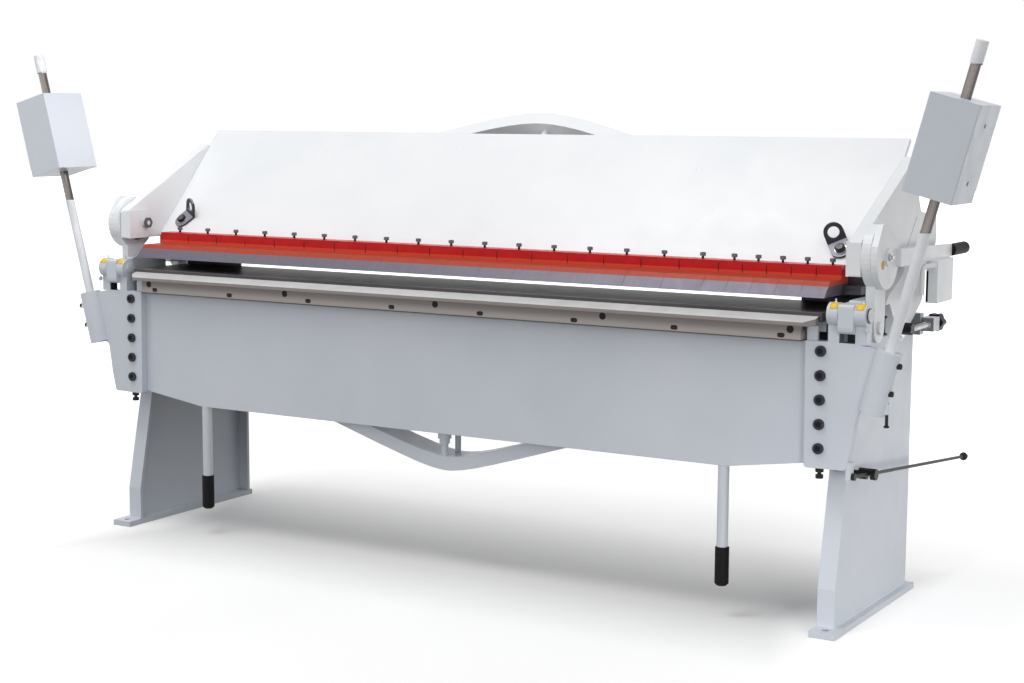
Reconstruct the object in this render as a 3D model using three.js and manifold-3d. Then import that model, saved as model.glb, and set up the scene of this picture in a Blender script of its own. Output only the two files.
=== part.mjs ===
// Box and pan brake: a hand operated sheet metal folder with a 2.5 m row of fingers.
// Millimetres. +X runs along the bend line to the right, +Y to the rear and +Z up.
import * as THREE from 'three';
import { mergeVertices } from 'three/addons/utils/BufferGeometryUtils.js';
import Module from 'manifold-3d';

const wasm = await Module();
wasm.setup();

// Clearances
const seat = 0.3;
const runningGap = 0.5;
const overrun = 2;

// Facets
const discSides = 40;
const bossSides = 24;
const roundSides = 16;
const boltSides = 12;
const smallSides = 8;
const hexSides = 6;
const cornerSteps = 3;
const arcSteps = 8;
const halfTurn = 180;
const fullTurn = 360;

// Fingers and working length
const wideFingerWidth = 125;
const wideFingerCount = 17;
const narrowFingerWidth = 75;
const narrowFingerCount = 5;
const fingerSplit = 0.4;
const workingLength = wideFingerWidth * wideFingerCount + narrowFingerWidth * narrowFingerCount;
const halfWork = workingLength / 2;

// Bend line: the hinge axis of the folding apron and the front edge of the table
const foldY = -288;
const foldZ = 897;

// Stands: bent plate channels, open inwards, on foot plates
const standReach = 55;
const standOuter = halfWork + standReach;
const standPlate = 12;
const standFlange = 52;
const standInner = standOuter - standPlate;
const footWidth = 76;
const footOverhang = 23;
const footLength = 666;
const footPlate = 18;
const footHoleRadius = 11;
const footHoleInset = 29;
const weldDepth = 1;
const standFrontY = -275;
const standRearY = 320;
const standToeZ = 125;
const standTopZ = 875;
const standTopFrontY = -120;
const standShoulder = 45;
const standCorner = 18;

// Table: a beam between the stands, its top plate and the ground steel jaw
const jawThickness = 25;
const jawRearY = 10;
const jawCorner = 3;
const tablePlate = 30;
const tablePlateSetback = 33;
const tableWebFrontY = -108;
const tableWebRearY = 0;
const tableWall = 12;
const tableBottomZ = 560;

// Fold hinge: stand knuckles between two lugs of the end castings
const foldPinRadius = 14;
const bossRadius = 32;
const innerLugWidth = 32;
const outerLugWidth = 33;
const knuckleWidth = 45;
const knuckleStart = standOuter + seat;
const knuckleEnd = knuckleStart + knuckleWidth;
const outerLugStart = knuckleEnd + seat;
const outerLugEnd = outerLugStart + outerLugWidth;
const innerLugEnd = knuckleStart - seat;
const innerLugStart = innerLugEnd - innerLugWidth;
const foldPinProud = 5;
const knuckleHalfHeight = 29;
const knuckleDrop = 52;
const hingeBlockWidth = 39;
const hingeBlockFrontY = -235;
const hingeBlockRearY = -65;
const hingeBlockBottomZ = 790;
const hingeBlockTopZ = 930;
const hingeBlockCorner = 10;
const bumperShelfLength = 45;
const bumperShelfTopZ = 815;

// Closing link of the clamp: an eccentric strap pinned to the hinge block
const linkGap = 0.7;
const linkStart = knuckleStart + hingeBlockWidth + linkGap;
const linkThickness = 26.6;
const linkEnd = linkStart + linkThickness;
const linkPinY = -172;
const linkPinZ = 852;
const linkPinRadius = 12;
const linkPinHeadRadius = 18;
const linkPinHead = 6;
const linkHeadRadius = 89;
const linkShankWidth = 84;
const eccentricRadius = 42;
const eccentricThrow = 17.3;
const eccentricAngle = -52.75;
const strapClearance = 8.5;

// Clamp lever and its shaft through the arm
const leverAxisY = -172;
const leverAxisZ = 1048;
const leverShaftRadius = 15;
const leverPlate = 19;
const leverPlateStart = linkEnd + seat;
const leverPlateEnd = leverPlateStart + leverPlate;
const leverPlateRadius = 89;
const leverPlateFrom = 158;
const leverPlateTo = 385;
const leverHornY = 43;
const leverHornWidth = 35;
const leverBar = 12;
const leverBarEnd = leverPlateEnd + leverBar;
const leverBarLength = 527;
const leverBarRoot = 50;
const leverBarTip = 38;
const leverBarStartY = 72;
const leverBarDrop = 6;
const leverStudRadius = 6;
const leverStudLength = 16;
const leverNutRadius = 17;
const leverNut = 14;
const gripRadius = 18.5;
const gripLength = 146;
const gripShoulder = 4;
const gripEndRadius = 8;
const gripEndStep = 2.7;
const gripTangRadius = 9;
const gripTangLength = 60;
const balanceWidth = 34;
const balanceLength = 143;
const balanceHeight = 125;
const balanceStartY = 332;
const balanceOverlap = 2;

// Arms that carry the clamping beam
const armGap = 1;
const armStart = standOuter + armGap;
const armThickness = 36;
const armEnd = armStart + armThickness;
const armBlockProud = 7;
const armBlockLength = 90;
const pivotY = 105;
const pivotZ = 822;
const pivotPinRadius = 20;
const pivotEndRadius = 38;
const pivotEndFrom = -140;
const pivotEndTo = -20;
const armReach = 643;
const armRise = 319;
const armFrontY = -250;
const armBottomZ = 996;

// Clamping beam panel, leaning back from its lower edge
const panelLowY = -92;
const panelLowZ = 1003;
const panelLean = THREE.MathUtils.degToRad(41.9);
const panelHeight = 486.5;
const panelPlate = 12;
const panelRib = 20;
const panelRibDepth = 110;
const panelRibWidth = 130;
const panelHalfLength = armStart - seat;

// Finger section and the holder behind it
const fingerUnderZ = 935.5;
const fingerTipY = -276;
const fingerNoseHeight = 42.5;
const fingerLedgeDepth = 85;
const fingerUprightHeight = 37;
const fingerHeelY = -94;
const fingerHeelNotch = 45.8;
const fingerHeelRise = 24.2;
const holderHalfLength = standOuter - runningGap;
const holderTopZ = 1000;
const holderRearY = -40;
const holderPlate = 12;
const holderPlateRearY = 110;
const holderPlateRise = 12;
const fingerScrewRadius = 4;
const fingerScrewHeadRadius = 8;
const fingerScrewHead = 5;
const fingerScrewShow = 9;
const fingerScrewY = -120;

// Lifting lugs, bolted to the beam panel
const rightLugInset = 41;
const leftLugInset = 16;
const lugUpPanel = 64;
const lugRadius = 29;
const lugPlate = 7;
const lugHoleRadius = 17;
const lugFootLength = 36;
const lugEarLength = 32;
const lugLean = THREE.MathUtils.degToRad(32);
const lugBend = THREE.MathUtils.degToRad(55);
const lugBoltRadius = 13;
const lugBoltHead = 9;

// Tie bars that stiffen the beam and the apron
const tieHalfLength = 1000;
const tieThickness = 44;
const tieDepth = 110;
const tieStandOff = 18;
const tiePadLength = 60;
const tiePadHeight = 50;
const tieSteps = 12;
const beamTieRise = 95.5;
const beamTieApex = panelHeight + beamTieRise;
const beamTieSlope = 0.385;
const beamTieBlend = 170;
const beamTieDepth = 80;
const beamPostX = 20;
const beamPostRadius = 12;
const apronTieApexZ = 342;
const apronTieSlope = 0.32;
const apronTieBlend = 81;
const apronPostX = -15;
const postRadius = 12;
const postCollarRadius = 17;
const postNutRadius = 22;
const postCollar = 16;
const postNut = 22;
const rearPostRadius = 10;
const postInset = 16;

// Apron: the folding leaf
const apronFrontY = -275;
const apronPlate = 12;
const apronTopZ = 817;
const apronBottomZ = 441;
const apronKinkInset = 281;
const apronKinkX = halfWork - apronKinkInset;
const apronEndZ = 480;
const apronRampShare = 0.85;
const apronReach = 35;
const apronHalfLength = halfWork + apronReach;
const apronRibHeight = 20;
const apronRibDepth = 150;
const apronRibWidth = 130;

// Bending rail on top of the apron
const railNoseReach = 47;
const railTopDrop = 23.5;
const railNoseHeight = 11.5;
const railBackDrop = 10;
const railBackGap = 1;
const railInset = 10;
const railHalfLength = halfWork - railInset;
const railChamfer = 28;
const railBarInset = 53;
const railBarHalfLength = halfWork - railBarInset;
const railBarFrontY = -308;
const railBarRearY = -263;
const railBarShoulder = 29;
const railScrewRadius = 9;
const railScrewInset = 84;
const railScrewSpacing = (halfWork - railScrewInset) / 2;
const railScrewDrop = 13;
const railPinRadius = 7;
const railPinInset = 110.75;
const railPinCount = 8;
const railPinSpacing = (2 * (halfWork - railPinInset)) / (railPinCount - 1);
const railPinDrop = 31;
const railRecess = 4;

// End castings of the apron
const castingPlate = 25;
const castingInset = 42;
const castingInnerX = halfWork - castingInset;
const castingBottomZ = 468;
const castingWidth = 260;
const castingTopRise = 3;
const castingHeight = apronTopZ + castingTopRise - castingBottomZ;
const castingPostWidth = 30;
const castingPostRecess = 12;
const lugShankDepth = 36;
const castingBoltInset = 46;
const castingBoltX = castingInnerX + castingBoltInset;
const castingBoltLowInset = 56.3;
const castingBoltTopInset = 26.1;
const castingBoltCount = 5;
const castingBoltLowZ = castingBottomZ + castingBoltLowInset;
const castingBoltSpan = castingHeight - castingBoltLowInset - castingBoltTopInset;
const castingBoltPitch = castingBoltSpan / (castingBoltCount - 1);
const castingBoltHeadRadius = 13;
const castingBoltHead = 4.4;
const castingBoltRadius = 7;
const heightScrewRadius = 5;
const heightScrewHeadRadius = 10;
const heightScrewLength = 28;
const heightScrewHead = 10;
const socketRadius = 35;
const socketDrop = 176;

// Weight rods and the sliding counterweights
const rodTilt = THREE.MathUtils.degToRad(15);
const rodReach = 240;
const rodFootX = castingInnerX + rodReach;
const rodY = -297;
const rodFootZ = 806;
const rodRadius = 15;
const rodInSocket = 140;
const rodPaintedLength = 331;
const rodBareRadius = 14;
const rodBareLength = 454;
const rodCapRadius = 17;
const rodCapLength = 62;
const weightWidth = 139;
const weightDepth = 180;
const weightHeight = 263;
const weightShift = 5;
const weightCentre = 562;
const weightCorner = 4;
const weightScrewRadius = 7;
const weightScrewInset = 55;
const weightScrewDepth = 8;

// Bending handles under the apron
const handleInset = 294;
const handleX = halfWork - handleInset;
const handleY = -262;
const handleRadius = 16.5;
const handleStudRadius = 8;
const handleStudLength = 50;
const handleGripRadius = 20.5;
const handleBottomZ = 90;
const handleGripTopZ = 204;
const handleInGrip = 41;
const handleEndRadius = 6;
const handleBossWidth = 52;
const handleBossHeight = 60;

// Setback adjusters behind the arms
const setbackReach = 19;
const setbackX = armEnd + setbackReach;
const setbackZ = 818;
const setbackScrewRadius = 8;
const setbackBlockRearY = 330;
const setbackBlockLength = 55;
const setbackBlockWidth = 40;
const setbackBracketLength = 30;
const setbackBracketProud = 5;
const setbackBracketHeight = 64;
const knobRadius = 28.5;
const knobLobes = 6;
const knobLobeSteps = 6;
const knobLobeShare = 0.09;
const knobThickness = 34;
const knobGap = 10;
const knobHubRadius = 14;
const pivotHeadRadius = 17;
const pivotHeadLength = 28;
const pivotWasherRadius = 27;
const pivotWasher = 5;
const bumperY = -50;
const bumperX = knuckleStart + hingeBlockWidth / 2;
const bumperRadius = 8;
const bumperHeadRadius = 12;
const bumperTopZ = 884;
const bumperHead = 9;

// Angle stop at the right end
const stopReach = 49;
const stopX = standOuter + stopReach;
const stopLugY = -290;
const stopLugZ = 454;
const stopRodRadius = 5;
const stopRodLength = 1019;
const stopAngle = THREE.MathUtils.degToRad(5.9);
const stopEyeRadius = 10;
const stopEyeWidth = 10;
const stopPinRadius = 4;
const stopLugWidth = 15;
const stopLugHeight = 34;
const stopSwivelReach = 125;
const stopSwivelRadius = 16;
const stopSwivelNeck = 20;
const stopSwivelLength = 21;
const stopSwivelEnd = stopX + stopSwivelLength;
const stopSlotWidth = 12;
const stopCollarRadius = 13.5;
const stopCollarInset = 12;
const stopTipRadius = 8;
const stopTipLength = 9;

// Finishes
const paintGrey = () => finish('#c9ced6', 0.45, 0.0);
const paintWhite = () => finish('#eef1f3', 0.4, 0.0);
const fingerRed = () => finish('#c81e20', 0.4, 0.0);
const groundSteel = () => finish('#4b4a4e', 0.25, 0.9);
const bareSteel = () => finish('#9a948f', 0.35, 0.9);
const blackOxide = () => finish('#24252a', 0.5, 0.6);
const blackPlastic = () => finish('#15161a', 0.55, 0.0);

function finish(color, roughness, metalness) {
  return new THREE.MeshStandardMaterial({ color, roughness, metalness, flatShading: true });
}

// Joining and cutting of closed shapes
function toSolid(geometry) {
  const bare = geometry.clone();
  bare.deleteAttribute('normal');
  bare.deleteAttribute('uv');
  const merged = mergeVertices(bare);
  const vertProperties = new Float32Array(merged.attributes.position.array);
  const triVerts = new Uint32Array(merged.index.array);
  return new wasm.Manifold(new wasm.Mesh({ numProp: 3, vertProperties, triVerts }));
}

function toGeometry(solid) {
  const mesh = solid.getMesh();
  const geometry = new THREE.BufferGeometry();
  geometry.setAttribute('position', new THREE.BufferAttribute(mesh.vertProperties, mesh.numProp));
  geometry.setIndex(new THREE.BufferAttribute(mesh.triVerts, 1));
  return geometry;
}

function join(...shapes) {
  return toGeometry(shapes.map(toSolid).reduce((whole, part) => whole.add(part)));
}

function cut(body, ...tools) {
  return toGeometry(tools.map(toSolid).reduce((whole, tool) => whole.subtract(tool), toSolid(body)));
}

function mirrored(geometry) {
  const copy = toGeometry(toSolid(geometry)).scale(-1, 1, 1);
  const order = copy.index.array;
  for (let corner = 0; corner < order.length; corner += 3) {
    [order[corner], order[corner + 1]] = [order[corner + 1], order[corner]];
  }
  return copy;
}

function bothSides(geometry) {
  return join(geometry, mirrored(geometry));
}

// Outlines: each point is [across, up] or [across, up, corner radius]
function outline(points) {
  const shape = new THREE.Shape();
  points.forEach((point, place) => {
    const here = new THREE.Vector2(point[0], point[1]);
    const before = points[(place + points.length - 1) % points.length];
    const after = points[(place + 1) % points.length];
    const back = new THREE.Vector2(before[0], before[1]).sub(here).normalize();
    const ahead = new THREE.Vector2(after[0], after[1]).sub(here).normalize();
    const radius = point[2] || 0;
    const reach = radius / Math.tan(Math.acos(back.dot(ahead)) / 2);
    const start = here.clone().addScaledVector(back, reach);
    const stop = here.clone().addScaledVector(ahead, reach);
    if (place === 0) {
      shape.moveTo(start.x, start.y);
    } else {
      shape.lineTo(start.x, start.y);
    }
    if (radius > 0) {
      shape.quadraticCurveTo(here.x, here.y, stop.x, stop.y);
    }
  });
  return shape;
}

function arcPoints(centreU, centreV, radius, fromDegrees, toDegrees, steps) {
  const points = [];
  for (let step = 0; step <= steps; step += 1) {
    const angle = THREE.MathUtils.degToRad(fromDegrees + ((toDegrees - fromDegrees) * step) / steps);
    points.push([centreU + radius * Math.cos(angle), centreV + radius * Math.sin(angle)]);
  }
  return points;
}

function slab(shape, depth) {
  return new THREE.ExtrudeGeometry(shape, { depth, bevelEnabled: false, curveSegments: cornerSteps });
}

// An outline in Y and Z, extruded along X
function alongX(points, fromX, toX) {
  const turn = new THREE.Matrix4().makeBasis(
    new THREE.Vector3(0, 1, 0),
    new THREE.Vector3(0, 0, 1),
    new THREE.Vector3(1, 0, 0),
  );
  return slab(outline(points), toX - fromX).applyMatrix4(turn).translate(fromX, 0, 0);
}

// An outline in X and Z, extruded along Y
function alongY(points, fromY, toY) {
  return slab(outline(points), toY - fromY).rotateX(Math.PI / 2).translate(0, toY, 0);
}

// An outline in X and Y, extruded along Z
function alongZ(points, fromZ, toZ) {
  return slab(outline(points), toZ - fromZ).translate(0, 0, fromZ);
}

function block(fromX, toX, fromY, toY, fromZ, toZ) {
  const box = new THREE.BoxGeometry(toX - fromX, toY - fromY, toZ - fromZ);
  return box.translate((fromX + toX) / 2, (fromY + toY) / 2, (fromZ + toZ) / 2);
}

function bar(from, to, radius, sides = roundSides) {
  const start = new THREE.Vector3(...from);
  const span = new THREE.Vector3(...to).sub(start);
  const length = span.length();
  const turn = new THREE.Quaternion().setFromUnitVectors(
    new THREE.Vector3(0, 1, 0),
    span.clone().normalize(),
  );
  const middle = start.addScaledVector(span, 1 / 2);
  return new THREE.CylinderGeometry(radius, radius, length, sides)
    .applyQuaternion(turn)
    .translate(middle.x, middle.y, middle.z);
}

function barX(fromX, toX, y, z, radius, sides) {
  return bar([fromX, y, z], [toX, y, z], radius, sides);
}

function barY(x, fromY, toY, z, radius, sides) {
  return bar([x, fromY, z], [x, toY, z], radius, sides);
}

function barZ(x, y, fromZ, toZ, radius, sides) {
  return bar([x, y, fromZ], [x, y, toZ], radius, sides);
}

// A profile of [radius, height] points turned round the Z axis
function turned(profile, sides = roundSides) {
  const points = profile.map(([radius, height]) => new THREE.Vector2(radius, height));
  return new THREE.LatheGeometry(points, sides).rotateX(Math.PI / 2);
}

const machine = new THREE.Group();
const table = new THREE.Group();
const apron = new THREE.Group();
const beam = new THREE.Group();
machine.add(table, apron, beam);

function place(parent, name, geometry, material) {
  const mesh = new THREE.Mesh(geometry, material);
  mesh.name = name;
  parent.add(mesh);
  return mesh;
}

// Stand
function standOutline(inset) {
  const slope = (standTopFrontY - standFrontY) / (standTopZ - standToeZ);
  const across = inset * Math.sqrt(1 + slope * slope);
  const open = inset > 0 ? overrun : 0;
  const bottomZ = footPlate - (inset > 0 ? overrun + weldDepth : weldDepth);
  const topFrontY = standTopFrontY + slope * open;
  return [
    [standFrontY + inset, bottomZ],
    [standFrontY + inset, standToeZ],
    [topFrontY + across, standTopZ + open],
    [standRearY - standShoulder, standTopZ + open],
    [standRearY - inset, standTopZ - standShoulder + open],
    [standRearY - inset, bottomZ],
  ];
}

function setbackMount() {
  const bracketFrontY = setbackBlockRearY - setbackBlockLength - setbackBracketProud;
  const bracket = block(
    standOuter - weldDepth,
    setbackX - setbackBlockWidth / 2 + weldDepth,
    bracketFrontY,
    bracketFrontY + setbackBracketLength,
    setbackZ - setbackBracketHeight / 2,
    setbackZ + setbackBracketHeight / 2,
  );
  const nutBlock = block(
    setbackX - setbackBlockWidth / 2,
    setbackX + setbackBlockWidth / 2,
    setbackBlockRearY - setbackBlockLength,
    setbackBlockRearY,
    setbackZ - setbackBlockWidth / 2,
    setbackZ + setbackBlockWidth / 2,
  );
  const hole = barY(
    setbackX,
    bracketFrontY - overrun,
    setbackBlockRearY + overrun,
    setbackZ,
    setbackScrewRadius + runningGap,
  );
  return cut(join(bracket, nutBlock), hole);
}

// The stub axle that the beam turns on, with its washer and the nut of the setback screw
function beamPivot() {
  const headStart = armEnd + seat + pivotWasher - weldDepth;
  const shank = barX(standInner - pivotWasher, headStart + weldDepth, pivotY, pivotZ, pivotPinRadius);
  const washer = barX(armEnd + seat, armEnd + seat + pivotWasher, pivotY, pivotZ, pivotWasherRadius);
  const headRearY = pivotY + pivotHeadRadius;
  const head = barX(headStart, headStart + pivotHeadLength, pivotY, pivotZ, pivotHeadRadius, hexSides);
  const thread = barY(
    setbackX,
    pivotY,
    headRearY + overrun,
    setbackZ,
    setbackScrewRadius + runningGap,
  );
  return cut(join(shank, washer, head), thread);
}

function stand() {
  const flangeX = standOuter - standFlange;
  const channel = cut(
    alongX(standOutline(0), flangeX, standOuter),
    alongX(standOutline(standPlate), flangeX - overrun, standInner),
  );
  const footX = standOuter + footOverhang - footWidth;
  const holeX = footX + footWidth / 2;
  const holeY = footLength / 2 - footHoleInset;
  const foot = cut(
    block(footX, footX + footWidth, -footLength / 2, footLength / 2, 0, footPlate),
    barZ(holeX, holeY, -overrun, footPlate + overrun, footHoleRadius, smallSides),
    barZ(holeX, -holeY, -overrun, footPlate + overrun, footHoleRadius, smallSides),
  );
  const swivelY = stopLugY + stopSwivelReach;
  const swivelZ = stopLugZ - stopSwivelReach * Math.tan(stopAngle);
  const swivelHole = barX(
    standInner - overrun,
    standOuter + overrun,
    swivelY,
    swivelZ,
    stopSwivelRadius / 2 + runningGap,
  );
  return { whole: join(channel, foot, setbackMount(), beamPivot()), swivelHole };
}

const standParts = stand();
place(table, 'left_stand', mirrored(standParts.whole), paintGrey());
place(table, 'right_stand', cut(standParts.whole, standParts.swivelHole), paintGrey());

// Table
const jawBottomZ = foldZ - jawThickness;
const tableTopZ = jawBottomZ - seat;

function tableBeam() {
  const plateFrontY = foldY + tablePlateSetback;
  const endX = standInner - seat;
  const plate = block(
    -halfWork,
    halfWork,
    plateFrontY,
    jawRearY,
    tableTopZ - tablePlate,
    tableTopZ,
  );
  const shell = block(
    -endX,
    endX,
    tableWebFrontY,
    tableWebRearY,
    tableBottomZ,
    tableTopZ - tablePlate + weldDepth,
  );
  const hollow = block(
    -endX - overrun,
    endX + overrun,
    tableWebFrontY + tableWall,
    tableWebRearY - tableWall,
    tableBottomZ + tableWall,
    tableTopZ - tablePlate - tableWall,
  );
  return join(plate, cut(shell, hollow));
}

place(table, 'table_beam', tableBeam(), paintGrey());
place(
  table,
  'table_jaw',
  alongX(
    [
      [foldY, foldZ, jawCorner / 2],
      [foldY, jawBottomZ],
      [jawRearY, jawBottomZ],
      [jawRearY, foldZ, jawCorner],
    ],
    -halfWork,
    halfWork,
  ),
  groundSteel(),
);

// Hinge blocks with the knuckles, and the shelf of the beam bumper
function hingeBlock() {
  const knuckleFrontY = foldY - knuckleHalfHeight;
  const knuckleRearY = hingeBlockFrontY;
  const knuckle = alongX(
    [
      [knuckleFrontY, foldZ - knuckleDrop, standCorner],
      [knuckleRearY, foldZ - knuckleDrop],
      [knuckleRearY, foldZ + knuckleHalfHeight],
      [knuckleFrontY, foldZ + knuckleHalfHeight, hingeBlockCorner],
    ],
    knuckleStart,
    knuckleEnd,
  );
  const shelfRearY = hingeBlockRearY + bumperShelfLength;
  const body = alongX(
    [
      [hingeBlockFrontY - weldDepth, hingeBlockBottomZ, hingeBlockCorner],
      [shelfRearY, hingeBlockBottomZ],
      [shelfRearY, bumperShelfTopZ],
      [hingeBlockRearY, bumperShelfTopZ],
      [hingeBlockRearY, hingeBlockTopZ, hingeBlockCorner],
      [hingeBlockFrontY - weldDepth, hingeBlockTopZ, hingeBlockCorner],
    ],
    knuckleStart,
    knuckleStart + hingeBlockWidth,
  );
  return cut(
    join(knuckle, body, linkPin(), bumperBolt()),
    barX(knuckleStart - overrun, knuckleEnd + overrun, foldY, foldZ, foldPinRadius + seat),
  );
}

function foldPin() {
  return barX(
    innerLugStart - foldPinProud,
    outerLugEnd + foldPinProud,
    foldY,
    foldZ,
    foldPinRadius,
  );
}

function linkPin() {
  const shank = barX(
    knuckleStart + hingeBlockWidth / 2,
    linkEnd + seat + linkPinHead,
    linkPinY,
    linkPinZ,
    linkPinRadius,
  );
  const head = barX(
    linkEnd + seat,
    linkEnd + seat + linkPinHead,
    linkPinY,
    linkPinZ,
    linkPinHeadRadius,
  );
  return join(shank, head);
}

// Bumper bolts under the toes of the arms
function bumperBolt() {
  return join(
    barZ(bumperX, bumperY, hingeBlockBottomZ + bumperRadius, bumperTopZ, bumperRadius, smallSides),
    barZ(bumperX, bumperY, bumperTopZ - bumperHead, bumperTopZ, bumperHeadRadius, hexSides),
    barZ(
      bumperX,
      bumperY,
      bumperShelfTopZ - weldDepth,
      bumperShelfTopZ + bumperHead,
      bumperHeadRadius,
      hexSides,
    ),
  );
}

place(table, 'right_hinge_block', hingeBlock(), paintGrey());
place(table, 'left_hinge_block', mirrored(hingeBlock()), paintGrey());
place(table, 'right_fold_pin', foldPin(), bareSteel());
place(table, 'left_fold_pin', mirrored(foldPin()), bareSteel());

// Setback knobs on their screws
function setbackKnob() {
  const knobStartY = setbackBlockRearY + knobGap;
  const lobes = arcPoints(0, 0, 1, 0, fullTurn, knobLobes * knobLobeSteps)
    .slice(1)
    .map(([across, up]) => {
      const angle = Math.atan2(up, across);
      const wave = Math.cos(knobLobes * angle);
      const radius = knobRadius * (1 - knobLobeShare + knobLobeShare * wave);
      return [setbackX + radius * across, setbackZ + radius * up];
    });
  const star = alongY(lobes, knobStartY, knobStartY + knobThickness);
  const hubStartY = knobStartY - knobGap + seat;
  const hub = barY(setbackX, hubStartY, knobStartY + weldDepth, setbackZ, knobHubRadius);
  const screw = barY(
    setbackX,
    pivotY + setbackScrewRadius / 2,
    knobStartY + weldDepth,
    setbackZ,
    setbackScrewRadius,
    smallSides,
  );
  return join(star, hub, screw);
}

place(table, 'right_setback_knob', setbackKnob(), blackPlastic());
place(table, 'left_setback_knob', mirrored(setbackKnob()), blackPlastic());

// Closing links: strap heads round the eccentrics of the lever shafts
const eccentricY = leverAxisY + eccentricThrow * Math.cos(THREE.MathUtils.degToRad(eccentricAngle));
const eccentricZ = leverAxisZ + eccentricThrow * Math.sin(THREE.MathUtils.degToRad(eccentricAngle));

function closingLink() {
  const head = barX(linkStart, linkEnd, leverAxisY, leverAxisZ, linkHeadRadius, discSides);
  const halfShank = linkShankWidth / 2;
  const shank = alongX(
    [
      ...arcPoints(linkPinY, linkPinZ, halfShank, halfTurn, fullTurn, arcSteps),
      [linkPinY + halfShank, leverAxisZ - halfShank],
      [linkPinY - halfShank, leverAxisZ - halfShank],
    ],
    linkStart,
    linkEnd,
  );
  return cut(
    join(head, shank),
    barX(
      linkStart - overrun,
      linkEnd + overrun,
      eccentricY,
      eccentricZ,
      eccentricRadius + strapClearance,
    ),
    barX(linkStart - overrun, linkEnd + overrun, linkPinY, linkPinZ, linkPinRadius + runningGap),
  );
}

place(table, 'right_closing_link', closingLink(), paintWhite());
place(table, 'left_closing_link', mirrored(closingLink()), paintWhite());

// Clamp levers
const leverBarRearY = leverAxisY + leverBarLength;

function leverPlateShape() {
  const hornY = leverAxisY - leverHornY;
  return alongX(
    [
      ...arcPoints(leverAxisY, leverAxisZ, leverPlateRadius, leverPlateFrom, leverPlateTo, discSides / 2),
      [hornY + leverHornWidth, leverAxisZ + leverPlateRadius + overrun],
      [hornY, leverAxisZ + leverPlateRadius + overrun],
    ],
    leverPlateStart,
    leverPlateEnd,
  );
}

function leverBarShape() {
  const rootY = leverAxisY + leverBarStartY;
  const rootZ = leverAxisZ - leverBarDrop;
  const tipZ = rootZ - leverBarDrop;
  return alongX(
    [
      [rootY, rootZ - leverBarRoot / 2],
      [leverBarRearY, tipZ - leverBarTip / 2, leverBarDrop],
      [leverBarRearY, tipZ + leverBarTip / 2, leverBarDrop],
      [rootY, rootZ + leverBarRoot / 2],
    ],
    leverPlateEnd - weldDepth,
    leverBarEnd,
  );
}

function balanceBlock() {
  const topZ = leverAxisZ - leverBarDrop - leverBarRoot / 2 + balanceOverlap;
  const frontY = leverAxisY + balanceStartY;
  return block(
    leverPlateEnd,
    leverPlateEnd + balanceWidth,
    frontY,
    frontY + balanceLength,
    topZ - balanceHeight,
    topZ,
  );
}

function clampLever() {
  const nutEnd = armStart - armBlockProud - seat;
  const shaftEnd = leverPlateStart + weldDepth;
  const shaft = barX(nutEnd - leverNut, shaftEnd, leverAxisY, leverAxisZ, leverShaftRadius);
  const nut = barX(nutEnd - leverNut / 2, nutEnd, leverAxisY, leverAxisZ, leverNutRadius, hexSides);
  const eccentric = barX(
    linkStart + seat,
    leverPlateStart + weldDepth,
    eccentricY,
    eccentricZ,
    eccentricRadius,
  );
  const stud = barX(
    leverPlateEnd - weldDepth,
    leverPlateEnd + leverStudLength,
    leverAxisY,
    leverAxisZ,
    leverStudRadius,
    smallSides,
  );
  const tangZ = leverAxisZ - 2 * leverBarDrop;
  const tang = barY(
    leverPlateEnd + leverBar / 2,
    leverBarRearY - weldDepth,
    leverBarRearY + gripTangLength,
    tangZ,
    gripTangRadius / 2,
    smallSides,
  );
  return join(shaft, nut, eccentric, leverPlateShape(), leverBarShape(), balanceBlock(), stud, tang);
}

function leverGrip() {
  const tangZ = leverAxisZ - 2 * leverBarDrop;
  const profile = [
    [0, 0],
    [gripRadius - gripShoulder, 0],
    [gripRadius, gripShoulder],
    [gripRadius, gripLength - gripEndRadius],
    [gripRadius - gripEndStep, gripLength - gripEndStep],
    [gripRadius - gripEndRadius, gripLength],
    [0, gripLength],
  ];
  const body = turned(profile)
    .rotateX(-Math.PI / 2)
    .translate(leverPlateEnd + leverBar / 2, leverBarRearY + seat, tangZ);
  const bore = barY(
    leverPlateEnd + leverBar / 2,
    leverBarRearY - overrun,
    leverBarRearY + gripTangLength + overrun,
    tangZ,
    gripTangRadius / 2 + seat,
    smallSides,
  );
  return cut(body, bore);
}

place(beam, 'right_clamp_lever', clampLever(), paintWhite());
place(beam, 'left_clamp_lever', mirrored(clampLever()), paintWhite());
place(beam, 'right_lever_grip', leverGrip(), blackPlastic());
place(beam, 'left_lever_grip', mirrored(leverGrip()), blackPlastic());

// Arms: cast plates from the lever shaft up the panel and down to the pivot
const armShares = {
  blockTop: [0, 0.301],
  topCorner: [0.669, 1],
  backCorner: [0.739, 0.602],
  earFront: [0.77, 0.492],
  earTop: [0.993, 0.436],
  earBottom: [1, 0.179],
  waistRear: [0.824, -0.066],
  heelTop: [0.838, -0.32],
  heelBottom: [0.718, -0.464],
  toeRear: [0.381, -0.295],
  toeTip: [0.325, -0.295],
  toeTop: [0.356, -0.223],
  waistFront: [0.551, -0.05],
  notchRear: [0.573, 0.063],
  notchTop: [0.43, 0.094],
  notchFront: [0.26, 0],
};

function armPoint(shares, radius = 0) {
  return [armFrontY + shares[0] * armReach, armBottomZ + shares[1] * armRise, radius];
}

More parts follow.
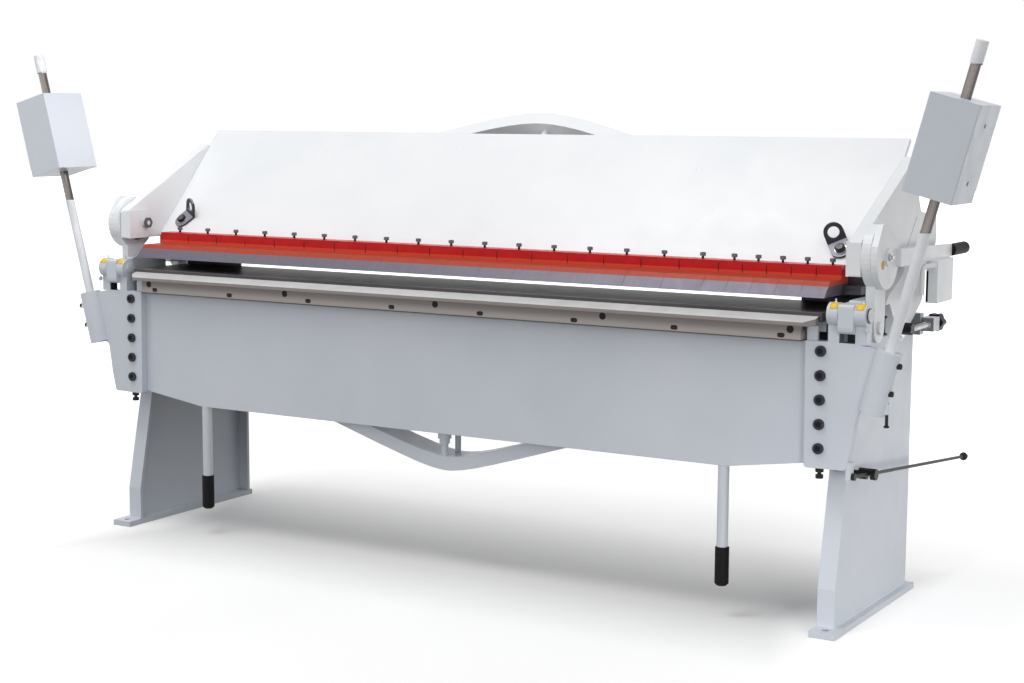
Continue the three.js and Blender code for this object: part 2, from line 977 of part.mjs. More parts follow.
function arm() {
  const pivotArc = arcPoints(pivotY, pivotZ, pivotEndRadius, pivotEndFrom, pivotEndTo, arcSteps);
  const plate = alongX(
    [
      [armFrontY, armBottomZ, hingeBlockCorner / 2],
      armPoint(armShares.notchFront, standCorner),
      armPoint(armShares.notchTop, standCorner),
      armPoint(armShares.notchRear, standCorner),
      armPoint(armShares.waistFront, standShoulder),
      armPoint(armShares.toeTop, hingeBlockCorner),
      armPoint(armShares.toeTip),
      armPoint(armShares.toeRear),
      ...pivotArc,
      armPoint(armShares.heelBottom, standCorner),
      armPoint(armShares.heelTop, standShoulder),
      armPoint(armShares.waistRear, standShoulder),
      armPoint(armShares.earBottom, standCorner),
      armPoint(armShares.earTop, hingeBlockCorner),
      armPoint(armShares.earFront, standCorner),
      armPoint(armShares.backCorner, standCorner),
      armPoint(armShares.topCorner, hingeBlockCorner / 2),
      armPoint(armShares.blockTop, hingeBlockCorner),
    ],
    armStart,
    armEnd,
  );
  const front = block(
    armStart - armBlockProud,
    armStart + weldDepth,
    armFrontY,
    armFrontY + armBlockLength,
    armBottomZ,
    armPoint(armShares.blockTop)[1],
  );
  return cut(
    join(plate, front),
    barX(
      armStart - armBlockProud - overrun,
      armEnd + overrun,
      leverAxisY,
      leverAxisZ,
      leverShaftRadius + runningGap,
    ),
    barX(armStart - overrun, armEnd + overrun, pivotY, pivotZ, pivotPinRadius + runningGap),
  );
}

place(beam, 'right_arm', arm(), paintWhite());
place(beam, 'left_arm', mirrored(arm()), paintWhite());

// Tie bars: a bar whose legs run into one curve in the middle
function tieRise(across, slope, blend) {
  return slope * (Math.sqrt(across * across + blend * blend) - blend);
}

function tieOutline(apex, slope, blend, direction) {
  const lower = [];
  const upper = [];
  for (let step = -tieSteps; step <= tieSteps; step += 1) {
    const share = step / tieSteps;
    const across = tieHalfLength * share * Math.abs(share);
    const middle = apex + direction * tieRise(across, slope, blend);
    lower.push([across, middle - tieThickness / 2]);
    upper.push([across, middle + tieThickness / 2]);
  }
  return [...lower, ...upper.reverse()];
}

// Panel group: local Z runs up the panel and local Y away behind it
const panel = new THREE.Group();
panel.position.set(0, panelLowY, panelLowZ);
panel.rotation.x = -panelLean;
beam.add(panel);

function beamPanel() {
  const sheet = block(-panelHalfLength, panelHalfLength, 0, panelPlate, 0, panelHeight);
  const rib = block(
    beamPostX - panelRibWidth / 2,
    beamPostX + panelRibWidth / 2,
    panelPlate - weldDepth,
    panelPlate + panelRibDepth,
    panelHeight - panelRib,
    panelHeight,
  );
  return join(sheet, rib);
}

function beamTiePost() {
  const reachX = beamPostX + beamPostRadius;
  const underZ = beamTieApex - tieThickness / 2 - tieRise(reachX, beamTieSlope, beamTieBlend);
  const middleY = panelPlate + tieStandOff + beamTieDepth / 2;
  return join(
    barZ(beamPostX, middleY, panelHeight + seat, underZ + overrun, beamPostRadius, smallSides),
    barZ(beamPostX, middleY, panelHeight + seat, panelHeight + postCollar, postCollarRadius, smallSides),
  );
}

function beamTieBar() {
  const frontY = panelPlate + tieStandOff;
  const rearY = frontY + beamTieDepth;
  const barSolid = alongY(tieOutline(beamTieApex, beamTieSlope, beamTieBlend, -1), frontY, rearY);
  const endZ = beamTieApex - tieRise(tieHalfLength, beamTieSlope, beamTieBlend);
  const pad = block(
    tieHalfLength - weldDepth,
    tieHalfLength + tiePadLength,
    panelPlate + seat,
    rearY,
    endZ - tiePadHeight / 2,
    endZ + tiePadHeight / 2,
  );
  return join(barSolid, pad, mirrored(pad), beamTiePost());
}

place(panel, 'beam_tie_bar', beamTieBar(), paintGrey());

// Lifting lugs: a foot bolted flat on the panel and an ear bent up from it, leaning towards the middle
function liftingLug(x) {
  const foot = join(
    alongY(
      [
        ...arcPoints(0, 0, lugRadius, halfTurn, fullTurn, arcSteps),
        [lugRadius, lugFootLength],
        [-lugRadius, lugFootLength],
      ],
      -lugPlate - seat,
      -seat,
    ),
    barY(0, -lugPlate - lugBoltHead, -lugPlate, 0, lugBoltRadius, hexSides),
  );
  const ear = cut(
    alongY(
      [
        ...arcPoints(0, lugEarLength, lugRadius, 0, halfTurn, arcSteps),
        [-lugRadius, 0],
        [lugRadius, 0],
      ],
      -lugPlate,
      0,
    ),
    barY(0, -lugPlate - overrun, overrun, lugEarLength, lugHoleRadius),
  )
    .rotateX(lugBend)
    .translate(0, -seat, lugFootLength);
  return join(foot, ear).rotateY(-lugLean).translate(x, 0, lugUpPanel);
}

place(panel, 'right_lifting_lug', liftingLug(halfWork - rightLugInset), blackOxide());
place(panel, 'left_lifting_lug', mirrored(liftingLug(halfWork - leftLugInset)), blackOxide());

// Finger holder: the bar behind the fingers, its lip and its rear plate, welded to the panel
const heelTopZ = fingerUnderZ + fingerHeelRise;

function fingerHolder() {
  const lipFrontY = fingerHeelY - fingerHeelNotch + seat;
  const underZ = fingerUnderZ + runningGap;
  const rearPlateZ = underZ + holderPlateRise;
  return alongX(
    [
      [lipFrontY, underZ],
      [holderRearY, underZ],
      [holderRearY, rearPlateZ],
      [holderPlateRearY, rearPlateZ],
      [holderPlateRearY, rearPlateZ + holderPlate],
      [holderRearY, rearPlateZ + holderPlate],
      [holderRearY, holderTopZ],
      [fingerHeelY + seat, holderTopZ],
      [fingerHeelY + seat, heelTopZ - seat],
      [lipFrontY, heelTopZ - seat],
    ],
    -holderHalfLength,
    holderHalfLength,
  );
}

function weldedBeam() {
  const leaning = beamPanel().rotateX(-panelLean).translate(0, panelLowY, panelLowZ);
  return join(leaning, fingerHolder());
}

place(beam, 'beam_panel', weldedBeam(), paintWhite());

// Fingers: seventeen wide and five narrow, each clamped by one screw
const ledgeZ = fingerUnderZ + fingerNoseHeight;
const ledgeFrontY = fingerTipY + fingerNoseHeight;
const uprightY = ledgeFrontY + fingerLedgeDepth;
const fingerTopZ = ledgeZ + fingerUprightHeight;

function finger(width) {
  const half = (width - fingerSplit) / 2;
  const notchY = fingerHeelY - fingerHeelNotch;
  const body = alongX(
    [
      [fingerTipY, fingerUnderZ],
      [notchY, fingerUnderZ],
      [notchY, heelTopZ],
      [fingerHeelY, heelTopZ],
      [fingerHeelY, fingerTopZ],
      [uprightY, fingerTopZ],
      [uprightY, ledgeZ],
      [ledgeFrontY, ledgeZ],
    ],
    -half,
    half,
  );
  const headZ = fingerTopZ + fingerScrewShow;
  const headTopZ = headZ + fingerScrewHead;
  const footZ = fingerTopZ - weldDepth;
  const shank = barZ(0, fingerScrewY, footZ, headZ + weldDepth, fingerScrewRadius, smallSides);
  const head = barZ(0, fingerScrewY, headZ, headTopZ, fingerScrewHeadRadius, smallSides);
  return join(body, shank, head);
}

let fingerEdgeX = -halfWork;
for (let count = 0; count < wideFingerCount + narrowFingerCount; count += 1) {
  const wide = count < wideFingerCount;
  const width = wide ? wideFingerWidth : narrowFingerWidth;
  const number = wide ? count + 1 : count + 1 - wideFingerCount;
  const name = `finger_${wide ? 'wide' : 'narrow'}_${String(number).padStart(2, '0')}`;
  const middleX = fingerEdgeX + width / 2;
  place(beam, name, finger(width), fingerRed()).position.x = middleX;
  fingerEdgeX += width;
}

// Apron plate with the rib of the tie posts and the handle bosses
function apronPlateBody() {
  const rearY = apronFrontY + apronPlate;
  const sheet = alongY(
    [
      [-apronHalfLength, apronEndZ],
      [-apronKinkX - (apronHalfLength - apronKinkX) * apronRampShare, apronEndZ],
      [-apronKinkX, apronBottomZ],
      [apronKinkX, apronBottomZ],
      [apronKinkX + (apronHalfLength - apronKinkX) * apronRampShare, apronEndZ],
      [apronHalfLength, apronEndZ],
      [apronHalfLength, apronTopZ - seat],
      [-apronHalfLength, apronTopZ - seat],
    ],
    apronFrontY,
    rearY,
  );
  const rib = block(
    apronPostX - apronRibWidth / 2,
    apronPostX + apronRibWidth / 2,
    rearY - weldDepth,
    rearY + apronRibDepth,
    apronBottomZ,
    apronBottomZ + apronRibHeight,
  );
  const boss = block(
    handleX - handleBossWidth / 2,
    handleX + handleBossWidth / 2,
    rearY - weldDepth,
    handleY + handleRadius + handleEndRadius,
    apronBottomZ,
    apronBottomZ + handleBossHeight,
  );
  const studTopZ = apronBottomZ + handleStudLength + seat;
  const bore = barZ(handleX, handleY, apronBottomZ - overrun, studTopZ, handleStudRadius + seat);
  const holes = castingBoltPlaces().map((z) =>
    barY(castingBoltX, apronFrontY - overrun, rearY + overrun, z, castingBoltRadius + seat, smallSides));
  return cut(join(sheet, rib, bothSides(boss)), bore, mirrored(bore), ...holes, ...holes.map(mirrored));
}

place(apron, 'apron_plate', apronPlateBody(), paintGrey());

// Bending rail: the blade and the bar under it
const railTopZ = foldZ - railTopDrop;
const railFrontY = foldY - railNoseReach;
const railUnderZ = railTopZ - railNoseHeight;

function railScrewPlaces() {
  const screwZ = railUnderZ - railScrewDrop;
  const pinZ = railUnderZ - railPinDrop;
  const places = [];
  for (let count = -2; count <= 2; count += 1) {
    places.push([railScrewSpacing * count, screwZ, railScrewRadius]);
  }
  for (let count = 0; count < railPinCount; count += 1) {
    places.push([railPinInset - halfWork + railPinSpacing * count, pinZ, railPinRadius]);
  }
  return places;
}

function railBody() {
  const backY = foldY - railBackGap;
  const blade = alongX(
    [
      [railFrontY, railUnderZ, overrun],
      [backY, railUnderZ],
      [backY, foldZ - railBackDrop],
      [railFrontY, railTopZ, overrun],
    ],
    -railHalfLength,
    railHalfLength,
  );
  const cornerTool = alongZ(
    [
      [railHalfLength - railChamfer, railFrontY - overrun],
      [railHalfLength + overrun, railFrontY - overrun],
      [railHalfLength + overrun, railFrontY + railChamfer],
    ],
    railUnderZ - overrun,
    foldZ,
  );
  const web = alongX(
    [
      [railBarFrontY, apronTopZ],
      [railBarRearY, apronTopZ],
      [railBarRearY, apronTopZ + railBarShoulder],
      [backY, apronTopZ + railBarShoulder],
      [backY, railUnderZ + weldDepth],
      [railBarFrontY, railUnderZ + weldDepth],
    ],
    -railBarHalfLength,
    railBarHalfLength,
  );
  const holes = railScrewPlaces().map(([x, z, radius]) =>
    barY(x, railBarFrontY - overrun, railBarFrontY + railRecess, z, radius, smallSides));
  return cut(join(blade, web), cornerTool, mirrored(cornerTool), ...holes);
}

place(apron, 'apron_rail', railBody(), bareSteel());

// End castings
const castingFrontY = apronFrontY - castingPlate;
const castingRearY = apronFrontY - seat;
const castingShares = {
  innerTop: [0, 1],
  innerBottom: [0.015, 0],
  outerBottom: [0.481, 0.006],
  web: [0.535, 0.185],
  hip: [0.596, 0.489],
  socketBottom: [0.854, 0.46],
  socketTop: [1, 0.949],
  shoulder: [0.738, 0.977],
};

function castingPoint(shares, radius = 0) {
  return [castingInnerX + shares[0] * castingWidth, castingBottomZ + shares[1] * castingHeight, radius];
}

function lugWithShank(fromX, toX) {
  const shank = block(
    fromX,
    toX,
    castingFrontY,
    castingFrontY + lugShankDepth,
    apronTopZ + runningGap,
    foldZ,
  );
  return join(shank, barX(fromX, toX, foldY, foldZ, bossRadius, bossSides));
}

function rodPoint(along) {
  return [rodFootX + along * Math.sin(rodTilt), rodY, rodFootZ + along * Math.cos(rodTilt)];
}

function castingBoltPlaces() {
  const places = [];
  for (let row = 0; row < castingBoltCount; row += 1) {
    places.push(castingBoltLowZ + castingBoltPitch * row);
  }
  return places;
}

function castingBolt(z) {
  const headFrontY = castingFrontY - castingBoltHead;
  const endY = apronFrontY + apronPlate;
  return join(
    barY(castingBoltX, headFrontY, castingFrontY + weldDepth, z, castingBoltHeadRadius, boltSides),
    barY(castingBoltX, castingRearY - weldDepth, endY, z, castingBoltRadius, smallSides),
  );
}

function heightScrew() {
  const y = castingFrontY + castingPlate / 2;
  const bottomZ = castingBottomZ - heightScrewLength;
  return join(
    barZ(castingBoltX, y, bottomZ, castingBottomZ + weldDepth, heightScrewRadius, smallSides),
    barZ(castingBoltX, y, bottomZ, bottomZ + heightScrewHead, heightScrewHeadRadius, hexSides),
    barZ(
      castingBoltX,
      y,
      castingBottomZ - heightScrewHead,
      castingBottomZ + weldDepth,
      heightScrewHeadRadius,
      hexSides,
    ),
  );
}

function endCasting() {
  const castingTopZ = castingBottomZ + castingHeight;
  const plate = alongY(
    [
      castingPoint(castingShares.innerBottom, hingeBlockCorner),
      castingPoint(castingShares.outerBottom, hingeBlockCorner),
      castingPoint(castingShares.web, standCorner),
      castingPoint(castingShares.hip, standCorner),
      castingPoint(castingShares.socketBottom),
      castingPoint(castingShares.socketTop),
      castingPoint(castingShares.shoulder, hingeBlockCorner),
      [outerLugStart, castingTopZ],
      castingPoint(castingShares.innerTop),
    ],
    castingFrontY,
    castingRearY,
  );
  const post = block(
    castingInnerX,
    castingInnerX + castingPostWidth,
    castingFrontY + castingPostRecess,
    castingRearY,
    castingTopZ - weldDepth,
    railUnderZ - runningGap,
  );
  const socket = bar(rodPoint(-socketDrop), rodPoint(0), socketRadius, bossSides);
  const bore = bar(
    rodPoint(-rodInSocket - seat),
    rodPoint(overrun),
    rodRadius + seat,
  );
  const pinHole = barX(
    innerLugStart - overrun,
    outerLugEnd + overrun,
    foldY,
    foldZ,
    foldPinRadius + runningGap,
  );
  return cut(
    join(
      plate,
      post,
      socket,
      lugWithShank(innerLugStart, innerLugEnd),
      lugWithShank(outerLugStart, outerLugEnd),
      ...castingBoltPlaces().map(castingBolt),
      heightScrew(),
    ),
    bore,
    pinHole,
  );
}

function stopLug() {
  const eyeX = stopX - stopEyeWidth / 2 - seat;
  return cut(
    block(
      eyeX - stopLugWidth,
      eyeX,
      castingFrontY + seat,
      castingRearY - seat,
      stopLugZ - stopEyeRadius,
      stopLugZ - stopEyeRadius + stopLugHeight + stopLugWidth,
    ),
    barX(
      eyeX - stopLugWidth - overrun,
      eyeX + overrun,
      stopLugY,
      stopLugZ,
      stopPinRadius + runningGap,
      smallSides,
    ),
  );
}

place(apron, 'left_end_casting', mirrored(endCasting()), paintGrey());
place(apron, 'right_end_casting', join(endCasting(), stopLug()), paintGrey());

// Weight rods and counterweights, in groups tilted like the rods
function weightRod() {
  const capZ = rodPaintedLength + rodBareLength;
  return join(
    barZ(0, 0, -rodInSocket, rodPaintedLength, rodRadius),
    barZ(0, 0, rodPaintedLength - weldDepth, capZ + weldDepth, rodBareRadius),
    turned([
      [0, capZ],
      [rodCapRadius, capZ],
      [rodCapRadius, capZ + rodCapLength - overrun],
      [rodCapRadius - overrun, capZ + rodCapLength],
      [0, capZ + rodCapLength],
    ]),
  );
}

function counterweight(side) {
  const body = alongZ(
    [
      [-weightWidth / 2, -weightDepth / 2, weightCorner],
      [weightWidth / 2, -weightDepth / 2, weightCorner],
      [weightWidth / 2, weightDepth / 2, weightCorner],
      [-weightWidth / 2, weightDepth / 2, weightCorner],
    ],
    weightCentre - weightHeight / 2,
    weightCentre + weightHeight / 2,
  );
  const bore = barZ(
    0,
    -weightShift,
    weightCentre - weightHeight,
    weightCentre + weightHeight,
    rodBareRadius + runningGap,
  );
  const outerX = (side * weightWidth) / 2;
  const holes = [];
  for (const up of [-1, 1]) {
    const z = weightCentre + up * (weightHeight / 2 - weightScrewInset);
    const innerX = outerX - side * weightScrewDepth;
    holes.push(barX(innerX, outerX + side * overrun, -weightShift, z, weightScrewRadius, smallSides));
  }
  return cut(body, bore, ...holes).translate(0, weightShift, 0);
}

for (const side of [-1, 1]) {
  const leaning = new THREE.Group();
  leaning.position.set(side * rodFootX, rodY, rodFootZ);
  leaning.rotation.y = side * rodTilt;
  apron.add(leaning);
  const label = side > 0 ? 'right' : 'left';
  place(leaning, `${label}_weight_rod`, weightRod(), bareSteel());
  place(leaning, `${label}_counterweight`, counterweight(side), paintGrey());
}

// Bending handles, screwed into the bottom edge of the apron, and their grips
function bendingHandle() {
  const topZ = apronBottomZ - seat;
  return join(
    barZ(handleX, handleY, handleGripTopZ - handleInGrip, topZ, handleRadius),
    barZ(handleX, handleY, topZ - weldDepth, apronBottomZ + handleStudLength, handleStudRadius),
  );
}

function handleGrip() {
  const length = handleGripTopZ - handleBottomZ;
  const body = turned([
    [0, 0],
    [handleGripRadius - handleEndRadius, 0],
    [handleGripRadius, handleEndRadius],
    [handleGripRadius, length - overrun],
    [handleGripRadius - overrun, length],
    [0, length],
  ]).translate(handleX, handleY, handleBottomZ);
  const bore = barZ(
    handleX,
    handleY,
    handleGripTopZ - handleInGrip - seat,
    handleGripTopZ + overrun,
    handleRadius + seat,
  );
  return cut(body, bore);
}

place(apron, 'right_bending_handle', bendingHandle(), paintGrey());
place(apron, 'left_bending_handle', mirrored(bendingHandle()), paintGrey());
place(apron, 'right_handle_grip', handleGrip(), blackPlastic());
place(apron, 'left_handle_grip', mirrored(handleGrip()), blackPlastic());

// Apron tie bar and its posts
const apronTieFrontY = apronFrontY + apronPlate + tieStandOff;
const apronTieRearY = apronTieFrontY + tieDepth;

function apronTieBar() {
  const barSolid = alongY(
    tieOutline(apronTieApexZ, apronTieSlope, apronTieBlend, 1),
    apronTieFrontY,
    apronTieRearY,
  );
  const endZ = apronTieApexZ + tieRise(tieHalfLength, apronTieSlope, apronTieBlend);
  const pad = block(
    tieHalfLength - weldDepth,
    tieHalfLength + tiePadLength,
    apronFrontY + apronPlate + seat,
    apronTieRearY,
    endZ - tiePadHeight / 2,
    endZ + tiePadHeight / 2,
  );
  return join(barSolid, pad, mirrored(pad), apronTiePosts());
}

function apronTiePosts() {
  const topZ = apronBottomZ - seat;
  const riseZ = tieRise(apronPostX, apronTieSlope, apronTieBlend);
  const footZ = apronTieApexZ + tieThickness / 2 + riseZ - overrun;
  const frontY = apronTieFrontY + postInset;
  const rearY = apronTieRearY - postInset;
  return join(
    barZ(apronPostX, frontY, footZ, topZ, postRadius),
    barZ(apronPostX, frontY, topZ - postNut - postCollar, topZ, postCollarRadius),
    barZ(apronPostX, frontY, topZ - postNut, topZ, postNutRadius),
    barZ(apronPostX, rearY, footZ, topZ, rearPostRadius, smallSides),
  );
}

place(apron, 'apron_tie_bar', apronTieBar(), paintGrey());

// Angle stop: local Y runs along the rod, from its eye on the casting lug
const stop = new THREE.Group();
stop.position.set(stopX, stopLugY, stopLugZ);
stop.rotation.x = -stopAngle;
apron.add(stop);

function stopRod() {
  const eyeX = stopEyeWidth / 2;
  return join(
    barY(0, 0, stopRodLength, 0, stopRodRadius, smallSides),
    barX(-eyeX, eyeX, 0, 0, stopEyeRadius),
    barX(-eyeX - seat - stopLugWidth, weldDepth, 0, 0, stopPinRadius, smallSides),
  );
}

function stopSwivel() {
  const alongRod = stopSwivelReach / Math.cos(stopAngle);
  const webX = standOuter + seat - stopX;
  const bodyX = webX + stopSwivelNeck;
  const body = barX(bodyX, stopSwivelEnd - stopX, alongRod, 0, stopSwivelRadius);
  const axleRadius = stopSwivelRadius / 2;
  const axleX = standInner - stopX - axleRadius;
  const axle = barX(axleX, bodyX + weldDepth, alongRod, 0, axleRadius);
  const slot = block(
    -stopSlotWidth / 2,
    stopSlotWidth / 2,
    alongRod - stopSwivelRadius - overrun,
    alongRod + stopSwivelRadius + overrun,
    -stopSwivelRadius - overrun,
    stopRodRadius + runningGap,
  );
  return cut(join(body, axle), slot);
}

function stopCollar() {
  const centreY = stopRodLength - stopCollarInset;
  const ball = new THREE.SphereGeometry(stopCollarRadius, roundSides, smallSides).translate(0, centreY, 0);
  const tip = barY(0, centreY, centreY + stopCollarRadius + stopTipLength, 0, stopTipRadius, boltSides);
  const bore = barY(
    0,
    centreY - stopCollarRadius - overrun,
    centreY + stopCollarRadius + stopTipLength + overrun,
    0,
    stopRodRadius + runningGap,
    smallSides,
  );
  return cut(join(ball, tip), bore);
}

place(stop, 'stop_rod', stopRod(), blackOxide());
place(stop, 'stop_swivel', stopSwivel(), blackOxide());
place(stop, 'stop_collar', stopCollar(), blackPlastic());

// The origin is the middle of the base of the whole machine
const whole = new THREE.Group();
whole.add(machine);
whole.updateMatrixWorld(true);
const bounds = new THREE.Box3().setFromObject(whole, true);
machine.position.set(0, -(bounds.min.y + bounds.max.y) / 2, 0);

export default whole;
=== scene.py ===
"""Looks, light and camera of the box and pan brake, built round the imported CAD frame."""

import math

import bmesh
import bpy
from mathutils import Matrix, Vector


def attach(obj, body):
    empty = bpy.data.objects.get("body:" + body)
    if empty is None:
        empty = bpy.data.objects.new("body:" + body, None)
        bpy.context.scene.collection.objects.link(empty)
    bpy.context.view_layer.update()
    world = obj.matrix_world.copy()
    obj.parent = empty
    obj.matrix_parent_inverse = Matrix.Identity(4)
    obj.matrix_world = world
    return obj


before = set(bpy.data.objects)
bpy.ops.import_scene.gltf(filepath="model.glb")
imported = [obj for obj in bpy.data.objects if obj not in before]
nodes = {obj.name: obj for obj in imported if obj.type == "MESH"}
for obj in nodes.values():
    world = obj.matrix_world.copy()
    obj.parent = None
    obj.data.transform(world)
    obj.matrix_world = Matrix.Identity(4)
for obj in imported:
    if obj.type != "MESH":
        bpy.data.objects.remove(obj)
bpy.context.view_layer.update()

# ---------------------------------------------------------------- places

# Lengths are in millimetres in the frame of the CAD source, whose Y is shifted to the row frame here.
# Heights and limits inside the finishes are in metres of the row frame, as the nodes read them.
SHIFT_Y = -176.4344
SIDES = {"right": 1, "left": -1}
FRONTWARD = (0, -1, 0)
BACKWARD = (0, 1, 0)
UP = (0, 0, 1)
DOWN = (0, 0, -1)

# Axes that run from side to side, as y and z
FOLD_AXIS = (-288, 897)
SHAFT_AXIS = (-172, 1048)
LINK_PIN_AXIS = (-172, 852)
PIVOT_AXIS = (105, 822)

# Faces and centre lines of the solids that carry the hardware
FOOT_TOP = 19
BUMPER_X, BUMPER_Y = 1325, -50
SETBACK_X, SETBACK_Z = 1361, 818
RAIL_FACE = -308
CASTING_X = 1254
LEVER_FACE = 1390.9

# The beam panel leans back from its lower front edge
PANEL_LEAN = math.radians(41.9)
PANEL_FOOT_Y, PANEL_FOOT_Z = -92, 1003
OFF_PANEL = (0, -math.cos(PANEL_LEAN), math.sin(PANEL_LEAN))

# The weight rods lean outward
ROD_LEAN = math.radians(15)
ROD_FOOT = (1448, -297, 806)
WEIGHT_UP_ROD = 562
WEIGHT_HALF_WIDTH = 62.5

FINGERS_START = -1250
WIDE_FINGERS, WIDE_FINGER = 17, 125
NARROW_FINGERS, NARROW_FINGER = 5, 75


def metres(x, y, z):
    """A point of the CAD source as a point of the row frame."""
    return Vector((x, y + SHIFT_Y, z)) / 1000


def on_panel(x, proud, up):
    """A point of the CAD source that lies up the leaning beam panel and stands proud of its face."""
    y = PANEL_FOOT_Y - proud * math.cos(PANEL_LEAN) + up * math.sin(PANEL_LEAN)
    return x, y, PANEL_FOOT_Z + proud * math.sin(PANEL_LEAN) + up * math.cos(PANEL_LEAN)


# ---------------------------------------------------------------- colours and node trees


def linear(colour):
    """A hex colour as linear RGBA."""
    parts = [int(colour[place : place + 2], 16) / 255 for place in (1, 3, 5)]
    return [part / 12.92 if part <= 0.04045 else ((part + 0.055) / 1.055) ** 2.4 for part in parts] + [1]


def per_metre(size):
    """The texture scale at which one repeat is this many millimetres."""
    return 1000 / size


def feed(tree, socket, value):
    """Links a socket to the one given, or sets it to a value or a hex colour."""
    if isinstance(value, bpy.types.NodeSocket):
        tree.links.new(value, socket)
    else:
        socket.default_value = linear(value) if isinstance(value, str) else value


def add(tree, kind, inputs=None, **settings):
    """Adds a node with its settings and feeds its inputs."""
    made = tree.nodes.new(kind)
    for name, value in settings.items():
        setattr(made, name, value)
    for name, value in (inputs or {}).items():
        feed(tree, made.inputs[name], value)
    return made


def blank(name, roughness, metallic=0.0, coat=0.0, specular=0.5):
    """A new material, its tree, its shader and the coordinates of its surface."""
    material = bpy.data.materials.new(name)
    material.use_nodes = True
    tree = material.node_tree
    shader = tree.nodes["Principled BSDF"]
    given = {
        "Roughness": roughness,
        "Metallic": metallic,
        "Coat Weight": coat,
        "Coat Roughness": 0.15,
        "Specular IOR Level": specular,
    }
    for socket, value in given.items():
        feed(tree, shader.inputs[socket], value)
    return material, tree, shader, add(tree, "ShaderNodeTexCoord").outputs["Object"]


def mixed(tree, share, low, high):
    """The colour low where share is 0 and high where it is 1."""
    return add(tree, "ShaderNodeMix", {0: share, 6: low, 7: high}, data_type="RGBA").outputs[2]


def ramp(tree, value, from_low, from_high, low=0.0, high=1.0):
    """Takes a value between two limits to a value between two others."""
    inputs = {"Value": value, "From Min": from_low, "From Max": from_high, "To Min": low, "To Max": high}
    return add(tree, "ShaderNodeMapRange", inputs).outputs["Result"]


def result(tree, operation, *values):
    """The result of a math operation on one or two values."""
    return add(tree, "ShaderNodeMath", dict(enumerate(values)), operation=operation).outputs[0]


def times(tree, one, other):
    """Two shares multiplied."""
    return result(tree, "MULTIPLY", one, other)


def within(tree, value, low, high, blur=0.0006):
    """1 where the value lies between two limits and 0 beyond them."""
    return times(tree, ramp(tree, value, low, low + blur), ramp(tree, value, high, high + blur, 1, 0))


def coordinate(tree, vector, axis):
    """The X, Y or Z of a vector."""
    return add(tree, "ShaderNodeSeparateXYZ", {"Vector": vector}).outputs[axis]


def aside(tree, place):
    """The distance from the middle of the machine, to either side."""
    return result(tree, "ABSOLUTE", coordinate(tree, place, "X"))


def dot(tree, one, other):
    """The dot product of two vectors."""
    return add(tree, "ShaderNodeVectorMath", {0: one, 1: other}, operation="DOT_PRODUCT").outputs["Value"]


def scaled(tree, vector, scale):
    """A vector scaled along its axes: a pattern grows long where the scale is small."""
    return add(tree, "ShaderNodeMapping", {"Vector": vector, "Scale": scale}).outputs["Vector"]


def noise(tree, place, size, detail):
    """Clouds of about that size in millimetres."""
    inputs = {"Vector": place, "Scale": per_metre(size), "Detail": detail}
    return add(tree, "ShaderNodeTexNoise", inputs).outputs[0]


def flat_normal(tree):
    """The normal of the face, without smoothing."""
    return add(tree, "ShaderNodeNewGeometry").outputs["True Normal"]


def smooth_normal(tree):
    """The normal of the smoothed surface."""
    return add(tree, "ShaderNodeNewGeometry").outputs["Normal"]


def upward(tree):
    """1 on faces that look up, 0 on upright faces and -1 on faces that look down."""
    return coordinate(tree, flat_normal(tree), "Z")


def softened(tree, width):
    """The normal, turned gradually over edges within that many millimetres."""
    return add(tree, "ShaderNodeBevel", {"Radius": width / 1000}, samples=4).outputs["Normal"]


def edges(tree, soft, wear):
    """The wear given on sharp edges, where the softened normal leaves the surface's own, and 0 on flats."""
    return times(tree, ramp(tree, dot(tree, soft, smooth_normal(tree)), 0.99, 0.8), wear)


def bumped(tree, shader, height, strength, depth, normal=None):
    """Turns a height pattern into relief of that depth in millimetres."""
    inputs = {"Height": height, "Strength": strength, "Distance": depth / 1000}
    if normal:
        inputs["Normal"] = normal
    feed(tree, shader.inputs["Normal"], add(tree, "ShaderNodeBump", inputs).outputs["Normal"])


def seen_by_camera(tree):
    """1 on rays from the camera, also mirrored or bent ones, and 0 on light that is passed on."""
    path = add(tree, "ShaderNodeLightPath").outputs
    seen = path["Is Camera Ray"]
    for other in ("Is Glossy Ray", "Is Transmission Ray"):
        seen = result(tree, "MAXIMUM", seen, path[other])
    return seen


# ---------------------------------------------------------------- finishes

# The values of a noise lie mostly between these two
CLOUD = (0.35, 0.65)
SPECK = "#8e929a"
WORN_PAINT = "#a2a6ae"
WORN_STEEL = "#e6e4e1"
WORN_BLACK = "#6a6b70"
DRAWN_LINE = "#d9d7d4"
# Near-black colour of the painted shade in gaps
GAP_SHADE = "#33363c"


